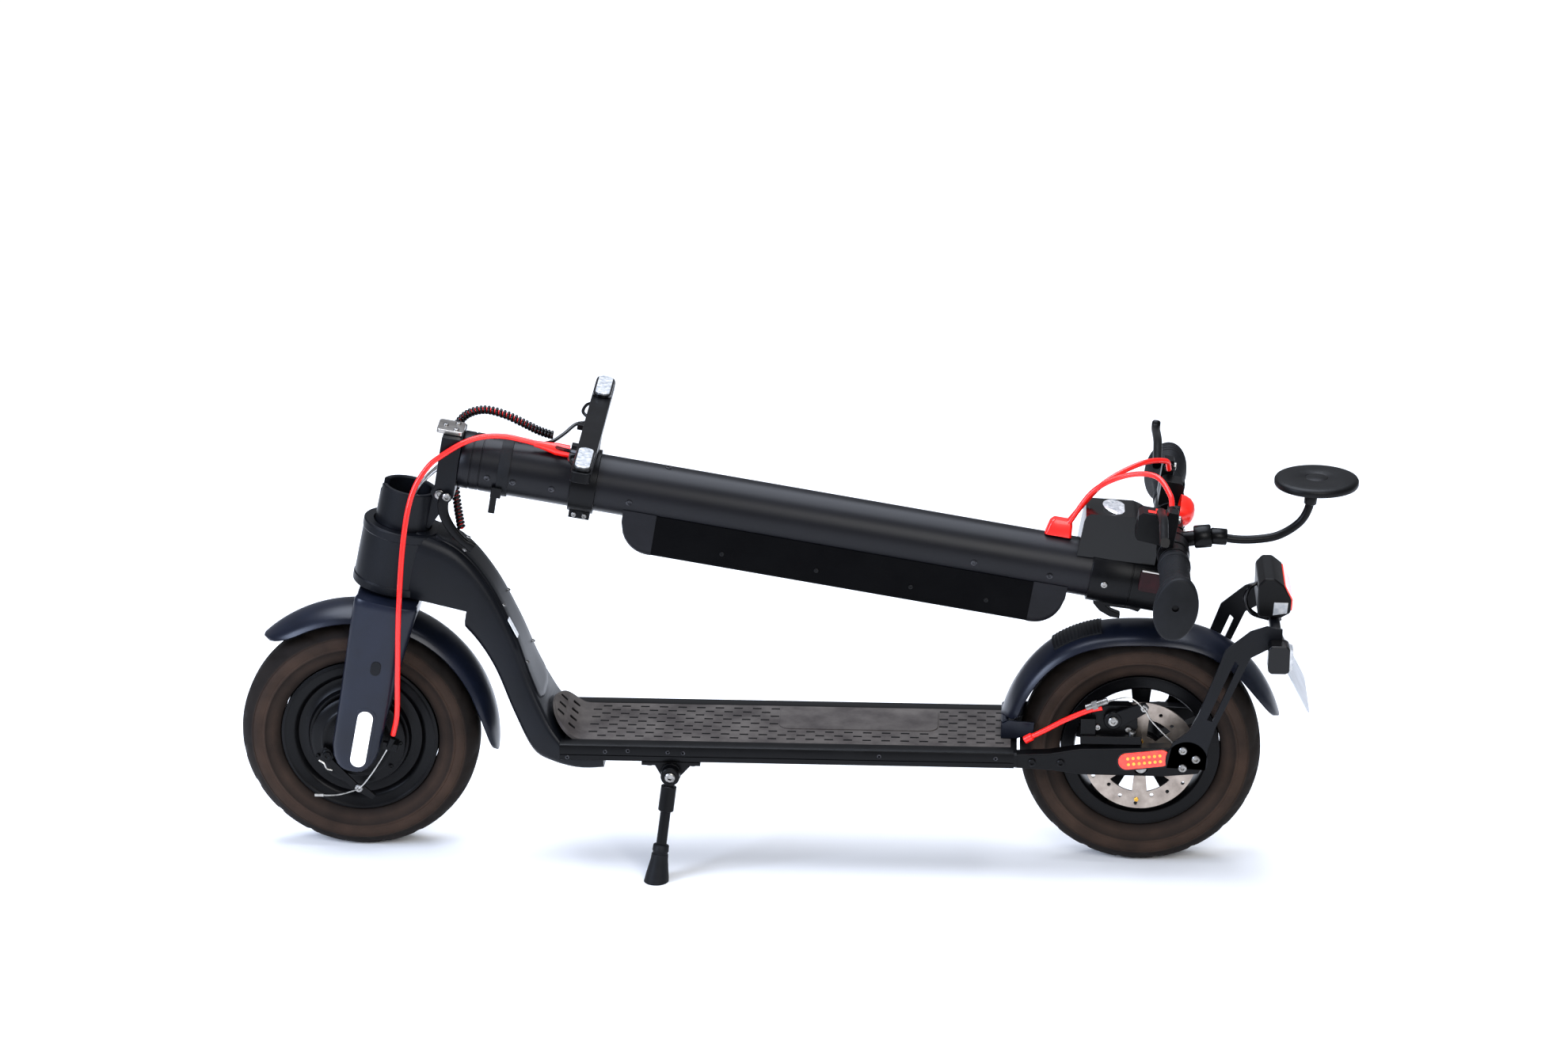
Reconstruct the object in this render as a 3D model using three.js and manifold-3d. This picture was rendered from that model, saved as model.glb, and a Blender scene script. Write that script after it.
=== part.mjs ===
// Folding electric kick scooter, shown folded on its side stand.
// Millimetres, +Z up. X runs from the front wheel (-X) to the rear wheel (+X).
// The scooter's left side, with the stand, is at -Y.
import * as THREE from "three";
import { mergeVertices } from "three/addons/utils/BufferGeometryUtils.js";
import Module from "manifold-3d";

const wasm = await Module();
wasm.setup();

// ---------------------------------------------------------------- driving dimensions
const GAP = 0.4; // clearance between two pieces that touch
const WHEELBASE = 828;
const TYRE_RADIUS = 127;
const TYRE_WIDTH = 54;
const TREAD_FLAT = 24; // width of the crown that meets the ground
const RIM_RADIUS = 84;
const AXLE_RADIUS = 6;
const DISC_RADIUS = 60;
const DISC_Y = -31;
const DISC_THICKNESS = 2.2;

const DECK_TOP = 142;
const DECK_HEIGHT = 18;
const DECK_HALF_WIDTH = 69;
const DECK_WALL = 3;
const FRONT_AXLE_TO_DECK = 218;
const DECK_TO_REAR_AXLE = 133;
const DECK_FRONT = FRONT_AXLE_TO_DECK - WHEELBASE / 2;
const DECK_REAR = WHEELBASE / 2 - DECK_TO_REAR_AXLE;
const MAT_THICKNESS = 2.6;
const MAT_HALF_WIDTH = 51;

const STEER_TILT = THREE.MathUtils.degToRad(12);
const FOLD_DROP = THREE.MathUtils.degToRad(9.46); // folded stem below the horizontal
const PIN_HEIGHT = 290.5; // along the steering axis, from the front axle
const PIN_OFFSET = 33.5; // from the steering axis, and from the stem's axis
const PIN_RADIUS = 4;
const HEAD_BOTTOM = 171;
const HEAD_TOP = 242;
const HEAD_RADIUS = 41;
const COLLAR_RADIUS = 29.5;
const COLLAR_TOP = 283;
const CUP_RADIUS = 24;
const CUP_DEPTH = 26;
const STEERER_RADIUS = 17;

const FORK_HALF_WIDTH = 61;
const FORK_INNER = 38;
const CROWN_TOP = 168;
const FENDER_RADIUS = 148;
const REAR_FENDER_RADIUS = 151;
const REAR_FENDER_DIP = 11.5; // flattened crown under the catch hook
const FENDER_HALF_WIDTH = 34;
const FENDER_DROP = 11;
const FENDER_WALL = 2.4;

const STEM_RADIUS = 30;
const STEM_WALL = 4;
const STEM_BORE = STEM_RADIUS - STEM_WALL;
const STEM_START = 15;
const STEM_END = 762;
const SLEEVE_START = 682;
const SLEEVE_WALL = 3;
const BATTERY_START = 191;
const BATTERY_END = 661;
const BATTERY_CAP = 36;
const BATTERY_HALF_WIDTH = 26;
const BATTERY_DEPTH = 66; // from the stem's axis
const BAR_Z = 757.7;
const BAR_FORWARD = 54;
const BAR_RADIUS = 11.1;
const BAR_HALF_LENGTH = 214;
const GRIP_LENGTH = 118;
const GRIP_RADIUS = 17;
const LIGHT_BAR_Z = 146;
const LIGHT_BAR_HALF_LENGTH = 155;
const LIGHT_BAR_LOW = 51; // its underside, from the stem's axis
const LIGHT_BAR_THICKNESS = 11;
const LIGHT_BAR_WIDTH = 21;

const STAND_X = DECK_FRONT + 117;
const STAND_Y = -DECK_HALF_WIDTH - 7;
const STAND_Z = 112;
const STAND_FOOT = new THREE.Vector3(STAND_X - 14, STAND_Y - 19, 0);

const FRONT_AXLE = new THREE.Vector3(-WHEELBASE / 2, 0, TYRE_RADIUS);
const REAR_AXLE = new THREE.Vector3(WHEELBASE / 2, 0, TYRE_RADIUS);
// The frame's outlines are written with the axles at -414 and 414, and each end of the
// frame then follows its own axle.
const DRAWN_AXLE = 414;
const FRONT_SHIFT = FRONT_AXLE.x + DRAWN_AXLE;
const REAR_SHIFT = REAR_AXLE.x - DRAWN_AXLE;
const atRear = (geometry) => geometry.translate(REAR_SHIFT, 0, 0);
const ahead = ([x, y, z]) => [x + FRONT_SHIFT, y, z];

// ---------------------------------------------------------------- groups
const body = new THREE.Group(); // the frame's own axes
const steer = new THREE.Group(); // z along the steering axis, origin on the front axle
steer.position.copy(FRONT_AXLE);
steer.rotation.y = STEER_TILT;
const stem = new THREE.Group(); // z along the folded stem, origin on its axis beside the pin
const pin = new THREE.Vector3(PIN_OFFSET, 0, PIN_HEIGHT);
pin.applyAxisAngle(new THREE.Vector3(0, 1, 0), STEER_TILT).add(FRONT_AXLE);
stem.rotation.y = Math.PI / 2 + FOLD_DROP;
stem.position.set(PIN_OFFSET * Math.sin(FOLD_DROP), 0, PIN_OFFSET * Math.cos(FOLD_DROP)).add(pin);

// ---------------------------------------------------------------- helpers
function weld(source) {
  // position only, shared corners, faces out
  let geometry = source.index ? source.toNonIndexed() : source.clone();
  for (const name of Object.keys(geometry.attributes)) {
    if (name !== "position") geometry.deleteAttribute(name);
  }
  geometry = mergeVertices(geometry, 1e-4);
  const at = geometry.attributes.position;
  const index = Array.from(geometry.index.array);
  const kept = [];
  const corners = [new THREE.Vector3(), new THREE.Vector3(), new THREE.Vector3()];
  let volume = 0;
  for (let i = 0; i < index.length; i += 3) {
    const [a, b, c] = [index[i], index[i + 1], index[i + 2]];
    if (a === b || b === c || a === c) continue;
    corners.forEach((corner, k) => corner.fromBufferAttribute(at, [a, b, c][k]));
    volume += corners[0].dot(corners[1].clone().cross(corners[2]));
    kept.push(a, b, c);
  }
  if (volume < 0) {
    for (let i = 0; i < kept.length; i += 3) [kept[i], kept[i + 1]] = [kept[i + 1], kept[i]];
  }
  geometry.setIndex(kept);
  return geometry;
}

function toSolid(source) {
  const geometry = weld(source);
  const vertProperties = new Float32Array(geometry.attributes.position.array);
  const triVerts = new Uint32Array(geometry.index.array);
  return new wasm.Manifold(new wasm.Mesh({ numProp: 3, vertProperties, triVerts }));
}

function toGeometry(solid) {
  const mesh = solid.getMesh();
  const geometry = new THREE.BufferGeometry();
  const flat = new THREE.BufferAttribute(new Float32Array(mesh.vertProperties), 3);
  geometry.setAttribute("position", flat);
  geometry.setIndex(Array.from(mesh.triVerts));
  return geometry;
}

function cut(base, ...tools) {
  let solid = toSolid(base);
  for (const tool of tools) solid = solid.subtract(toSolid(tool));
  return toGeometry(solid);
}

function join(base, ...others) {
  let solid = toSolid(base);
  for (const other of others) solid = solid.add(toSolid(other));
  return toGeometry(solid);
}

function finish(color, roughness, metalness = 0) {
  return new THREE.MeshStandardMaterial({ color, roughness, metalness });
}

function put(group, name, geometry, material) {
  const clean = weld(geometry);
  clean.computeVertexNormals();
  const mesh = new THREE.Mesh(clean, material);
  mesh.name = name;
  group.add(mesh);
  return mesh;
}

function outline(points) {
  return new THREE.Shape(points.map(([x, y]) => new THREE.Vector2(x, y)));
}

function slab(shape, y0, y1, curve = 6) {
  // a shape drawn in X and Z, thick along Y
  const geometry = new THREE.ExtrudeGeometry(shape, {
    depth: y1 - y0, bevelEnabled: false, curveSegments: curve,
  });
  geometry.rotateX(Math.PI / 2);
  geometry.translate(0, y1, 0);
  return geometry;
}

function plate(shape, z0, z1, curve = 6) {
  // a shape drawn in X and Y, thick along Z
  const geometry = new THREE.ExtrudeGeometry(shape, {
    depth: z1 - z0, bevelEnabled: false, curveSegments: curve,
  });
  geometry.translate(0, 0, z0);
  return geometry;
}

function box(x0, x1, y0, y1, z0, z1) {
  const geometry = new THREE.BoxGeometry(x1 - x0, y1 - y0, z1 - z0);
  geometry.translate((x0 + x1) / 2, (y0 + y1) / 2, (z0 + z1) / 2);
  return geometry;
}

function roundRect(x0, x1, y0, y1, r) {
  const shape = new THREE.Shape();
  shape.moveTo(x0 + r, y0);
  shape.lineTo(x1 - r, y0);
  shape.absarc(x1 - r, y0 + r, r, -Math.PI / 2, 0);
  shape.lineTo(x1, y1 - r);
  shape.absarc(x1 - r, y1 - r, r, 0, Math.PI / 2);
  shape.lineTo(x0 + r, y1);
  shape.absarc(x0 + r, y1 - r, r, Math.PI / 2, Math.PI);
  shape.lineTo(x0, y0 + r);
  shape.absarc(x0 + r, y0 + r, r, Math.PI, 1.5 * Math.PI);
  return shape;
}

function rod(from, to, radius, segments = 16, endRadius = radius) {
  const a = new THREE.Vector3(...from);
  const b = new THREE.Vector3(...to);
  const length = a.distanceTo(b);
  const geometry = new THREE.CylinderGeometry(endRadius, radius, length, segments);
  const along = b.clone().sub(a).normalize();
  const turn = new THREE.Quaternion().setFromUnitVectors(new THREE.Vector3(0, 1, 0), along);
  geometry.applyQuaternion(turn);
  const middle = a.add(b).multiplyScalar(0.5);
  geometry.translate(middle.x, middle.y, middle.z);
  return geometry;
}

function disc(x, z, radius, y0, y1, segments = 24) {
  return rod([x, y0, z], [x, y1, z], radius, segments);
}

function turned(profile, segments = 40) {
  // profile of [radius, y] pairs, closed on itself, turned about the Y axis
  const ring = [...profile, profile[0]].map(([r, y]) => new THREE.Vector2(r, y));
  return new THREE.LatheGeometry(ring, segments);
}

function cable(points, radius, steps = 24, sides = 6) {
  const path = new THREE.CatmullRomCurve3(points.map((p) => new THREE.Vector3(...p)));
  const round = new THREE.Shape();
  for (let i = 0; i < sides; i += 1) {
    const angle = (2 * Math.PI * i) / sides;
    const x = radius * Math.cos(angle);
    const y = radius * Math.sin(angle);
    if (i === 0) round.moveTo(x, y);
    else round.lineTo(x, y);
  }
  return new THREE.ExtrudeGeometry(round, { steps, bevelEnabled: false, extrudePath: path });
}

function skin(rings) {
  // closed body through rings of equal point counts, flat at both ends
  const count = rings[0].length;
  const corners = rings.flat();
  const faces = [];
  for (let r = 0; r < rings.length - 1; r += 1) {
    for (let i = 0; i < count; i += 1) {
      const a = r * count + i;
      const b = r * count + ((i + 1) % count);
      faces.push(a, b, a + count, b, b + count, a + count);
    }
  }
  const last = (rings.length - 1) * count;
  for (let i = 1; i < count - 1; i += 1) {
    faces.push(0, i + 1, i);
    faces.push(last, last + i, last + i + 1);
  }
  const geometry = new THREE.BufferGeometry();
  geometry.setAttribute("position", new THREE.Float32BufferAttribute(corners.flat(), 3));
  geometry.setIndex(faces);
  return geometry;
}

// finishes
const satinBlack = () => finish("#1d1e24", 0.45, 0.2);
const matteBlack = () => finish("#15151a", 0.6, 0.1);
const plasticBlack = () => finish("#17171a", 0.5);
const rubberBlack = () => finish("#1c1b1b", 0.85);
const steel = () => finish("#b9b3ac", 0.35, 0.9);
const cableRed = () => finish("#f2140c", 0.4);

// ---------------------------------------------------------------- wheels
function tyre(x) {
  const half = TYRE_WIDTH / 2;
  const profile = [
    [RIM_RADIUS + GAP, -half * 0.62], [RIM_RADIUS + 14, -half * 0.96], [TYRE_RADIUS - 20, -half],
    [TYRE_RADIUS - 7, -half * 0.78], [TYRE_RADIUS, -TREAD_FLAT / 2], [TYRE_RADIUS, TREAD_FLAT / 2],
    [TYRE_RADIUS - 7, half * 0.78], [TYRE_RADIUS - 20, half], [RIM_RADIUS + 14, half * 0.96],
    [RIM_RADIUS + GAP, half * 0.62],
  ];
  const geometry = turned(profile, 36);
  geometry.translate(x, 0, TYRE_RADIUS);
  return geometry;
}

function hubMotor() {
  const bore = AXLE_RADIUS + GAP;
  const profile = [
    [bore, -20], [34, -20], [34, -22], [52, -22], [56, -14], [68, -14], [72, -19], [RIM_RADIUS, -19],
    [RIM_RADIUS, 19], [72, 19], [68, 14], [58, 14], [54, 24], [30, 26], [bore, 26],
  ];
  const geometry = turned(profile, 30);
  geometry.translate(FRONT_AXLE.x, 0, FRONT_AXLE.z);
  return geometry;
}

function rearRim() {
  const bore = AXLE_RADIUS + GAP;
  const ring = turned([[70, -17], [RIM_RADIUS, -17], [RIM_RADIUS, 17], [70, 17]], 36);
  const hub = turned([[bore, -26], [24, -26], [24, 26], [bore, 26]], 24);
  const spokes = [];
  for (let i = 0; i < 5; i += 1) {
    const spoke = box(20, 73, -8, 8, -9, 9);
    spoke.rotateY(-(2 * Math.PI * i) / 5 - Math.PI / 2);
    spokes.push(spoke);
  }
  const geometry = join(ring, hub, ...spokes);
  geometry.translate(REAR_AXLE.x, 0, REAR_AXLE.z);
  return geometry;
}

function brakeDisc() {
  const y0 = DISC_Y - DISC_THICKNESS / 2;
  const y1 = DISC_Y + DISC_THICKNESS / 2;
  const bore = AXLE_RADIUS + 6;
  const base = turned([[bore, y0], [DISC_RADIUS, y0], [DISC_RADIUS, y1], [bore, y1]], 30);
  const windows = [];
  for (let i = 0; i < 6; i += 1) {
    const angle = (2 * Math.PI * i) / 6;
    windows.push(disc(33 * Math.cos(angle), 33 * Math.sin(angle), 9, y0 - 1, y1 + 1, 10));
  }
  for (let i = 0; i < 12; i += 1) {
    const angle = (2 * Math.PI * (i + 0.5)) / 12;
    windows.push(disc(52 * Math.cos(angle), 52 * Math.sin(angle), 2.6, y0 - 1, y1 + 1, 6));
  }
  const geometry = cut(base, ...windows);
  geometry.translate(REAR_AXLE.x, 0, REAR_AXLE.z);
  return geometry;
}

put(body, "front_tyre", tyre(FRONT_AXLE.x), finish("#3a322d", 0.9));
put(body, "hub_motor", hubMotor(), matteBlack());
put(body, "rear_tyre", tyre(REAR_AXLE.x), finish("#3a322d", 0.9));
put(body, "rear_rim", rearRim(), satinBlack());
put(body, "brake_disc", brakeDisc(), finish("#a89c92", 0.35, 0.9));

// ---------------------------------------------------------------- deck
const TRAY_TOP = DECK_TOP - MAT_THICKNESS - GAP;
const TRAY_BOTTOM = DECK_TOP - DECK_HEIGHT;
const POCKET_TOP = TRAY_TOP - DECK_WALL;
const COVER_THICKNESS = 2;

function along(shape, x0, x1) {
  // a shape drawn in Y and Z, long along X
  const geometry = new THREE.ExtrudeGeometry(shape, { depth: x1 - x0, bevelEnabled: false });
  geometry.rotateX(Math.PI / 2);
  geometry.rotateZ(Math.PI / 2);
  geometry.translate(x0, 0, 0);
  return geometry;
}

function deckTray() {
  const w = DECK_HALF_WIDTH;
  const shoulder = MAT_HALF_WIDTH + 8;
  const section = outline([
    [-w, TRAY_BOTTOM], [w, TRAY_BOTTOM], [w, TRAY_TOP - 3], [shoulder, TRAY_TOP],
    [-shoulder, TRAY_TOP], [-w, TRAY_TOP - 3],
  ]);
  const inner = w - DECK_WALL;
  const pocket = box(DECK_FRONT + 24, DECK_REAR - 24, -inner, inner, TRAY_BOTTOM - 1, POCKET_TOP);
  return cut(along(section, DECK_FRONT, DECK_REAR), pocket);
}

put(body, "deck_tray", deckTray(), matteBlack());
const coverHalf = DECK_HALF_WIDTH - DECK_WALL - GAP;
put(body, "deck_bottom_cover", box(
  DECK_FRONT + 24 + GAP, DECK_REAR - 24 - GAP, -coverHalf, coverHalf,
  TRAY_BOTTOM, TRAY_BOTTOM + COVER_THICKNESS,
), plasticBlack());
put(body, "controller_box", box(
  40, 150, -35, 35, TRAY_BOTTOM + COVER_THICKNESS + GAP, POCKET_TOP - GAP,
), finish("#8d9094", 0.5, 0.8));

// ---------------------------------------------------------------- neck
// stations from the deck to the head: [top x, top z, bottom x, bottom z, half width]
const frontStation = ([tx, tz, bx, bz, w]) => [tx + FRONT_SHIFT, tz, bx + FRONT_SHIFT, bz, w];
const NECK = [
  [-186, 134, -178, 112, 66],
  [-203, 152, -204, 114, 59],
  [-217, 178, -226, 124, 53],
  [-229, 205, -247, 164, 47],
  [-246, 251, -270, 217, 40],
  [-272, 304, -299, 256, 35],
  [-304, 342, -330, 274, 34],
  [-346, 362, -362, 281, 34],
].map(frontStation);
const NECK_COVER_THICKNESS = 3;

function neckRing([tx, tz, bx, bz, w]) {
  const point = (t, y) => [tx + (bx - tx) * t, y, tz + (bz - tz) * t];
  const flat = Math.min(w - 8, 46);
  return [
    point(0, -flat), point(0.06, -w + 4), point(0.22, -w), point(0.7, -w), point(0.9, -w * 0.86),
    point(1, -w * 0.6), point(1, w * 0.6), point(0.9, w * 0.86), point(0.7, w), point(0.22, w),
    point(0.06, w - 4), point(0, flat),
  ];
}

function stretch([tx, tz, bx, bz, w], up) {
  // the same station with its top moved out along the station's own line
  const length = Math.hypot(tx - bx, tz - bz);
  return [tx + (up * (tx - bx)) / length, tz + (up * (tz - bz)) / length, w];
}

const axisPoint = (s, v = 0) => new THREE.Vector3(v, 0, s)
  .applyAxisAngle(new THREE.Vector3(0, 1, 0), STEER_TILT).add(FRONT_AXLE).toArray();

function neckFrame() {
  const foot = [
    [-150, 139.2 - MAT_THICKNESS, -150, 112, 66], [-168, 134, -166, 111, 66],
  ].map(frontStation);
  const loft = skin([...foot, ...NECK].map(neckRing));
  const head = rod(axisPoint(HEAD_BOTTOM), axisPoint(HEAD_TOP), HEAD_RADIUS, 32);
  const bore = rod(axisPoint(HEAD_BOTTOM - 4), axisPoint(HEAD_TOP + 60), STEERER_RADIUS + 6, 24);
  const seat = rod(
    axisPoint(HEAD_TOP - 6), axisPoint(HEAD_TOP + 60), COLLAR_RADIUS + 1.2, 32,
  );
  const under = rod(axisPoint(HEAD_BOTTOM), axisPoint(HEAD_BOTTOM - 60), 90, 24);
  const deckSpace = box(
    DECK_FRONT - GAP, 0, -DECK_HALF_WIDTH - 5, DECK_HALF_WIDTH + 5, TRAY_BOTTOM - GAP, 200,
  );
  return cut(join(loft, head), bore, seat, under, deckSpace);
}

function neckCover() {
  const lid = NECK.slice(3).map((station) => {
    const [ix, iz, w] = stretch(station, GAP);
    const [ox, oz] = stretch(station, GAP + NECK_COVER_THICKNESS);
    const half = Math.min(w - 8, 46);
    return [
      [ix, -half, iz], [ox, -half + 2, oz], [ox, half - 2, oz], [ix, half, iz],
    ];
  });
  const collarSpace = rod(axisPoint(200), axisPoint(330), HEAD_RADIUS + GAP, 32);
  return cut(skin(lid), collarSpace);
}

put(body, "neck_frame", neckFrame(), satinBlack());
put(body, "neck_cover", neckCover(), finish("#1b1c21", 0.5, 0.1));

// ---------------------------------------------------------------- deck mat
function deckMat() {
  // a strip that runs along the deck and a little way up the neck
  const top = DECK_TOP;
  const low = DECK_TOP - MAT_THICKNESS;
  const t = MAT_THICKNESS;
  const nose = [
    [-168, top], [-180, top + 1.2], [-189, top + 7.5], [-205.5, top + 23.5],
    [-206.5 - t, top + 24], [-192 - t * 0.2, top + 6], [-182, low + 0.6], [-168, low],
  ].map(([x, z]) => [x + FRONT_SHIFT, z]);
  const side = outline([[DECK_REAR - 4, low], [DECK_REAR - 4, top], ...nose]);
  return slab(side, -MAT_HALF_WIDTH, MAT_HALF_WIDTH);
}

put(body, "deck_mat", deckMat(), rubberBlack());

// ---------------------------------------------------------------- rear end
const ARM_INNER = 50;
const ARM_OUTER = 66;
const ARM_MID = 134;
const PLATE_WALL = 3.5;
const DROP_CENTRE = [461, 137];

function dropout(side) {
  const profile = outline([
    [DRAWN_AXLE - DECK_TO_REAR_AXLE + GAP, 124], [352, 118], [440, 117.5], [474, 121], [478, 130], [476, 143],
    [468, 149], [440, 150], [350, 147], [DRAWN_AXLE - DECK_TO_REAR_AXLE + GAP, TRAY_TOP],
  ]);
  const y0 = side * ARM_INNER;
  const y1 = side * ARM_OUTER;
  const bore = disc(DRAWN_AXLE, REAR_AXLE.z, AXLE_RADIUS + GAP, -80, 80, 16);
  return cut(slab(profile, Math.min(y0, y1), Math.max(y0, y1)), bore);
}

put(body, "dropout_left", atRear(dropout(-1)), satinBlack());
put(body, "dropout_right", atRear(dropout(1)), satinBlack());
put(body, "rear_axle", rod(
  [REAR_AXLE.x, -ARM_OUTER - 3, REAR_AXLE.z], [REAR_AXLE.x, ARM_OUTER + 3, REAR_AXLE.z],
  AXLE_RADIUS, 14,
), steel());

function fender(centre, from, to, taper, reach = () => FENDER_RADIUS) {
  // an arched shell around a wheel, narrowing to a rounded tip at both ends
  const steps = 16;
  const rings = [];
  for (let i = 0; i <= steps; i += 1) {
    const t = i / steps;
    const angle = THREE.MathUtils.degToRad(from + (to - from) * t);
    const end = Math.min(1, Math.min(t / taper[0], (1 - t) / taper[1]));
    const half = FENDER_HALF_WIDTH * (0.3 + 0.7 * Math.sqrt(1 - (1 - end) ** 2));
    const ring = [];
    for (const wall of [0, FENDER_WALL]) {
      const across = wall ? [-1, -0.72, 0, 0.72, 1] : [1, 0.72, 0, -0.72, -1];
      for (const u of across) {
        const y = u * (half - (wall ? 0.6 : 0));
        const share = y / FENDER_HALF_WIDTH;
        const r = reach(angle) - FENDER_DROP * share ** 2 - wall;
        ring.push([centre.x + r * Math.cos(angle), y, centre.z + r * Math.sin(angle)]);
      }
    }
    rings.push(ring);
  }
  return skin(rings);
}

const REAR_FENDER = [15, 167];
const pocketUnderDeck = box(0, DECK_REAR + GAP, -80, 80, 60, DECK_TOP + GAP);
const rearReach = (angle) => REAR_FENDER_RADIUS - REAR_FENDER_DIP * Math.sin(angle) ** 8;
put(body, "rear_fender", cut(
  fender(REAR_AXLE, ...REAR_FENDER, [0.16, 0.04], rearReach), pocketUnderDeck,
), satinBlack());

function plateArm(side) {
  const [cx, cz] = DROP_CENTRE;
  const shape = new THREE.Shape();
  shape.moveTo(cx - 17, cz + 12);
  shape.lineTo(cx - 3, cz + 30);
  shape.lineTo(498, 262);
  shape.quadraticCurveTo(505, 285, 540, 289);
  shape.lineTo(556, 286);
  shape.lineTo(556, 272);
  shape.quadraticCurveTo(531, 272, 523, 254);
  shape.lineTo(cx + 22, cz + 16);
  shape.absarc(cx, cz, 22, 0.6, -2.4, true);
  shape.lineTo(cx - 17, cz + 12);
  const y0 = side * (ARM_OUTER + GAP);
  const y1 = side * (ARM_OUTER + GAP + PLATE_WALL);
  return slab(shape, Math.min(y0, y1), Math.max(y0, y1), 5);
}

const LAMP_X = 531; // front face of the tail light
const cross = slab(roundRect(544, 555, 273.5, 284.5, 3), -ARM_OUTER - 1, ARM_OUTER + 1, 2);
put(body, "lamp_bracket", atRear(join(plateArm(-1), cross, plateArm(1))), matteBlack());

function tailLight() {
  const side = outline([
    [LAMP_X, 290], [LAMP_X + 4, 286.5], [556, 286.5], [567, 292], [568, 306], [560, 322],
    [548, 330], [538, 330], [LAMP_X, 322],
  ]);
  return slab(side, -38, 38);
}

put(body, "tail_light", atRear(tailLight()), plasticBlack());
function indicator(side) {
  const near = ARM_OUTER + GAP + PLATE_WALL + GAP;
  const shape = roundRect(540, 567, 244, 278, 4);
  const [y0, y1] = side < 0 ? [-near - 22, -near] : [near, near + 22];
  return slab(shape, y0, y1, 3);
}

put(body, "indicator_left", atRear(indicator(-1)), plasticBlack());
put(body, "indicator_right", atRear(indicator(1)), plasticBlack());

const plateFoot = new THREE.Vector3(583, 0, 186);
const numberPlate = new THREE.BoxGeometry(1.5, 106, 82);
numberPlate.rotateY(-THREE.MathUtils.degToRad(27.5));
numberPlate.translate(plateFoot.x - 14, 0, plateFoot.z + 36);
put(body, "number_plate", atRear(cut(
  numberPlate, slab(roundRect(543, 556 + GAP, 270, 286, 3), -80, 80, 3),
)), finish("#e9eaec", 0.4));

// ---------------------------------------------------------------- rear brake
const CALIPER = [384, 176];

function caliper() {
  const [x, z] = CALIPER;
  const shell = slab(roundRect(x - 24, x + 26, z - 20, z + 14, 8), -50, DISC_Y + 6, 3);
  const slot = disc(DRAWN_AXLE, REAR_AXLE.z, DISC_RADIUS + 3, DISC_Y - 3, DISC_Y + 3, 36);
  const foot = box(x - 34, x + 30, -ARM_OUTER + 4, -ARM_INNER + 6, 150 + GAP, 160);
  return cut(join(shell, foot), slot);
}

put(body, "brake_caliper", atRear(caliper()), plasticBlack());

const ARM_Y = -51;
function caliperArm() {
  const [x, z] = CALIPER;
  const hub = disc(x, z, 10, ARM_Y - 7, ARM_Y, 16);
  const lever = slab(outline([
    [x - 6, z - 4], [x + 2, z - 9], [x + 26, z + 8], [x + 24, z + 18], [x + 14, z + 20],
  ]), ARM_Y - 6, ARM_Y - 1);
  return join(hub, lever);
}

put(body, "caliper_arm", atRear(caliperArm()), matteBlack());
put(body, "rear_brake_cable", atRear(cable(
  [[294, -54, 152.5], [312, -56, 163], [334, -57, 176], [358, -57, 187], [372, -57, 190.5]], 2.7, 10,
)), cableRed());

// ---------------------------------------------------------------- side stand
const STAND_BOSS = 11; // radius of the boss under the deck's edge
const STAND_BOSS_FACE = STAND_Y + 6;

function standBracket() {
  const top = TRAY_BOTTOM - GAP;
  const flange = box(STAND_X - 31, STAND_X + 31, STAND_BOSS_FACE + 3, STAND_BOSS_FACE + 32, top - 4, top);
  const boss = disc(STAND_X, STAND_Z, STAND_BOSS, STAND_BOSS_FACE, STAND_BOSS_FACE + 16, 18);
  const pinHole = disc(STAND_X, STAND_Z, 4 + GAP, -120, 0, 14);
  return cut(join(flange, boss), pinHole);
}

const standTop = new THREE.Vector3(STAND_X, STAND_Y, STAND_Z);
const standWay = STAND_FOOT.clone().sub(standTop).normalize();
const standAt = (d) => standTop.clone().addScaledVector(standWay, d).toArray();
const STAND_LENGTH = standTop.distanceTo(STAND_FOOT);
put(body, "stand_bracket", standBracket(), satinBlack());
put(body, "stand_leg", join(
  rod(standAt(0), standAt(STAND_LENGTH - 24), 5.5, 10),
  disc(STAND_X, STAND_Z, STAND_BOSS - 1, STAND_Y - 5, STAND_BOSS_FACE - GAP, 18),
  disc(STAND_X, STAND_Z, 4, STAND_Y - 4, STAND_BOSS_FACE + 14, 14),
  rod(standAt(10), standAt(38), 8.4, 12),
), satinBlack());

function standFoot() {
  const sleeve = rod(standAt(STAND_LENGTH - 40), standAt(STAND_LENGTH + 6), 8.5, 14, 13);
  const hole = rod(standAt(STAND_LENGTH - 60), standAt(STAND_LENGTH - 24 + GAP), 5.5 + GAP, 12);
  return cut(sleeve, hole, box(-160, -40, -160, -40, -40, 0));
}

put(body, "stand_foot", standFoot(), rubberBlack());

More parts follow.
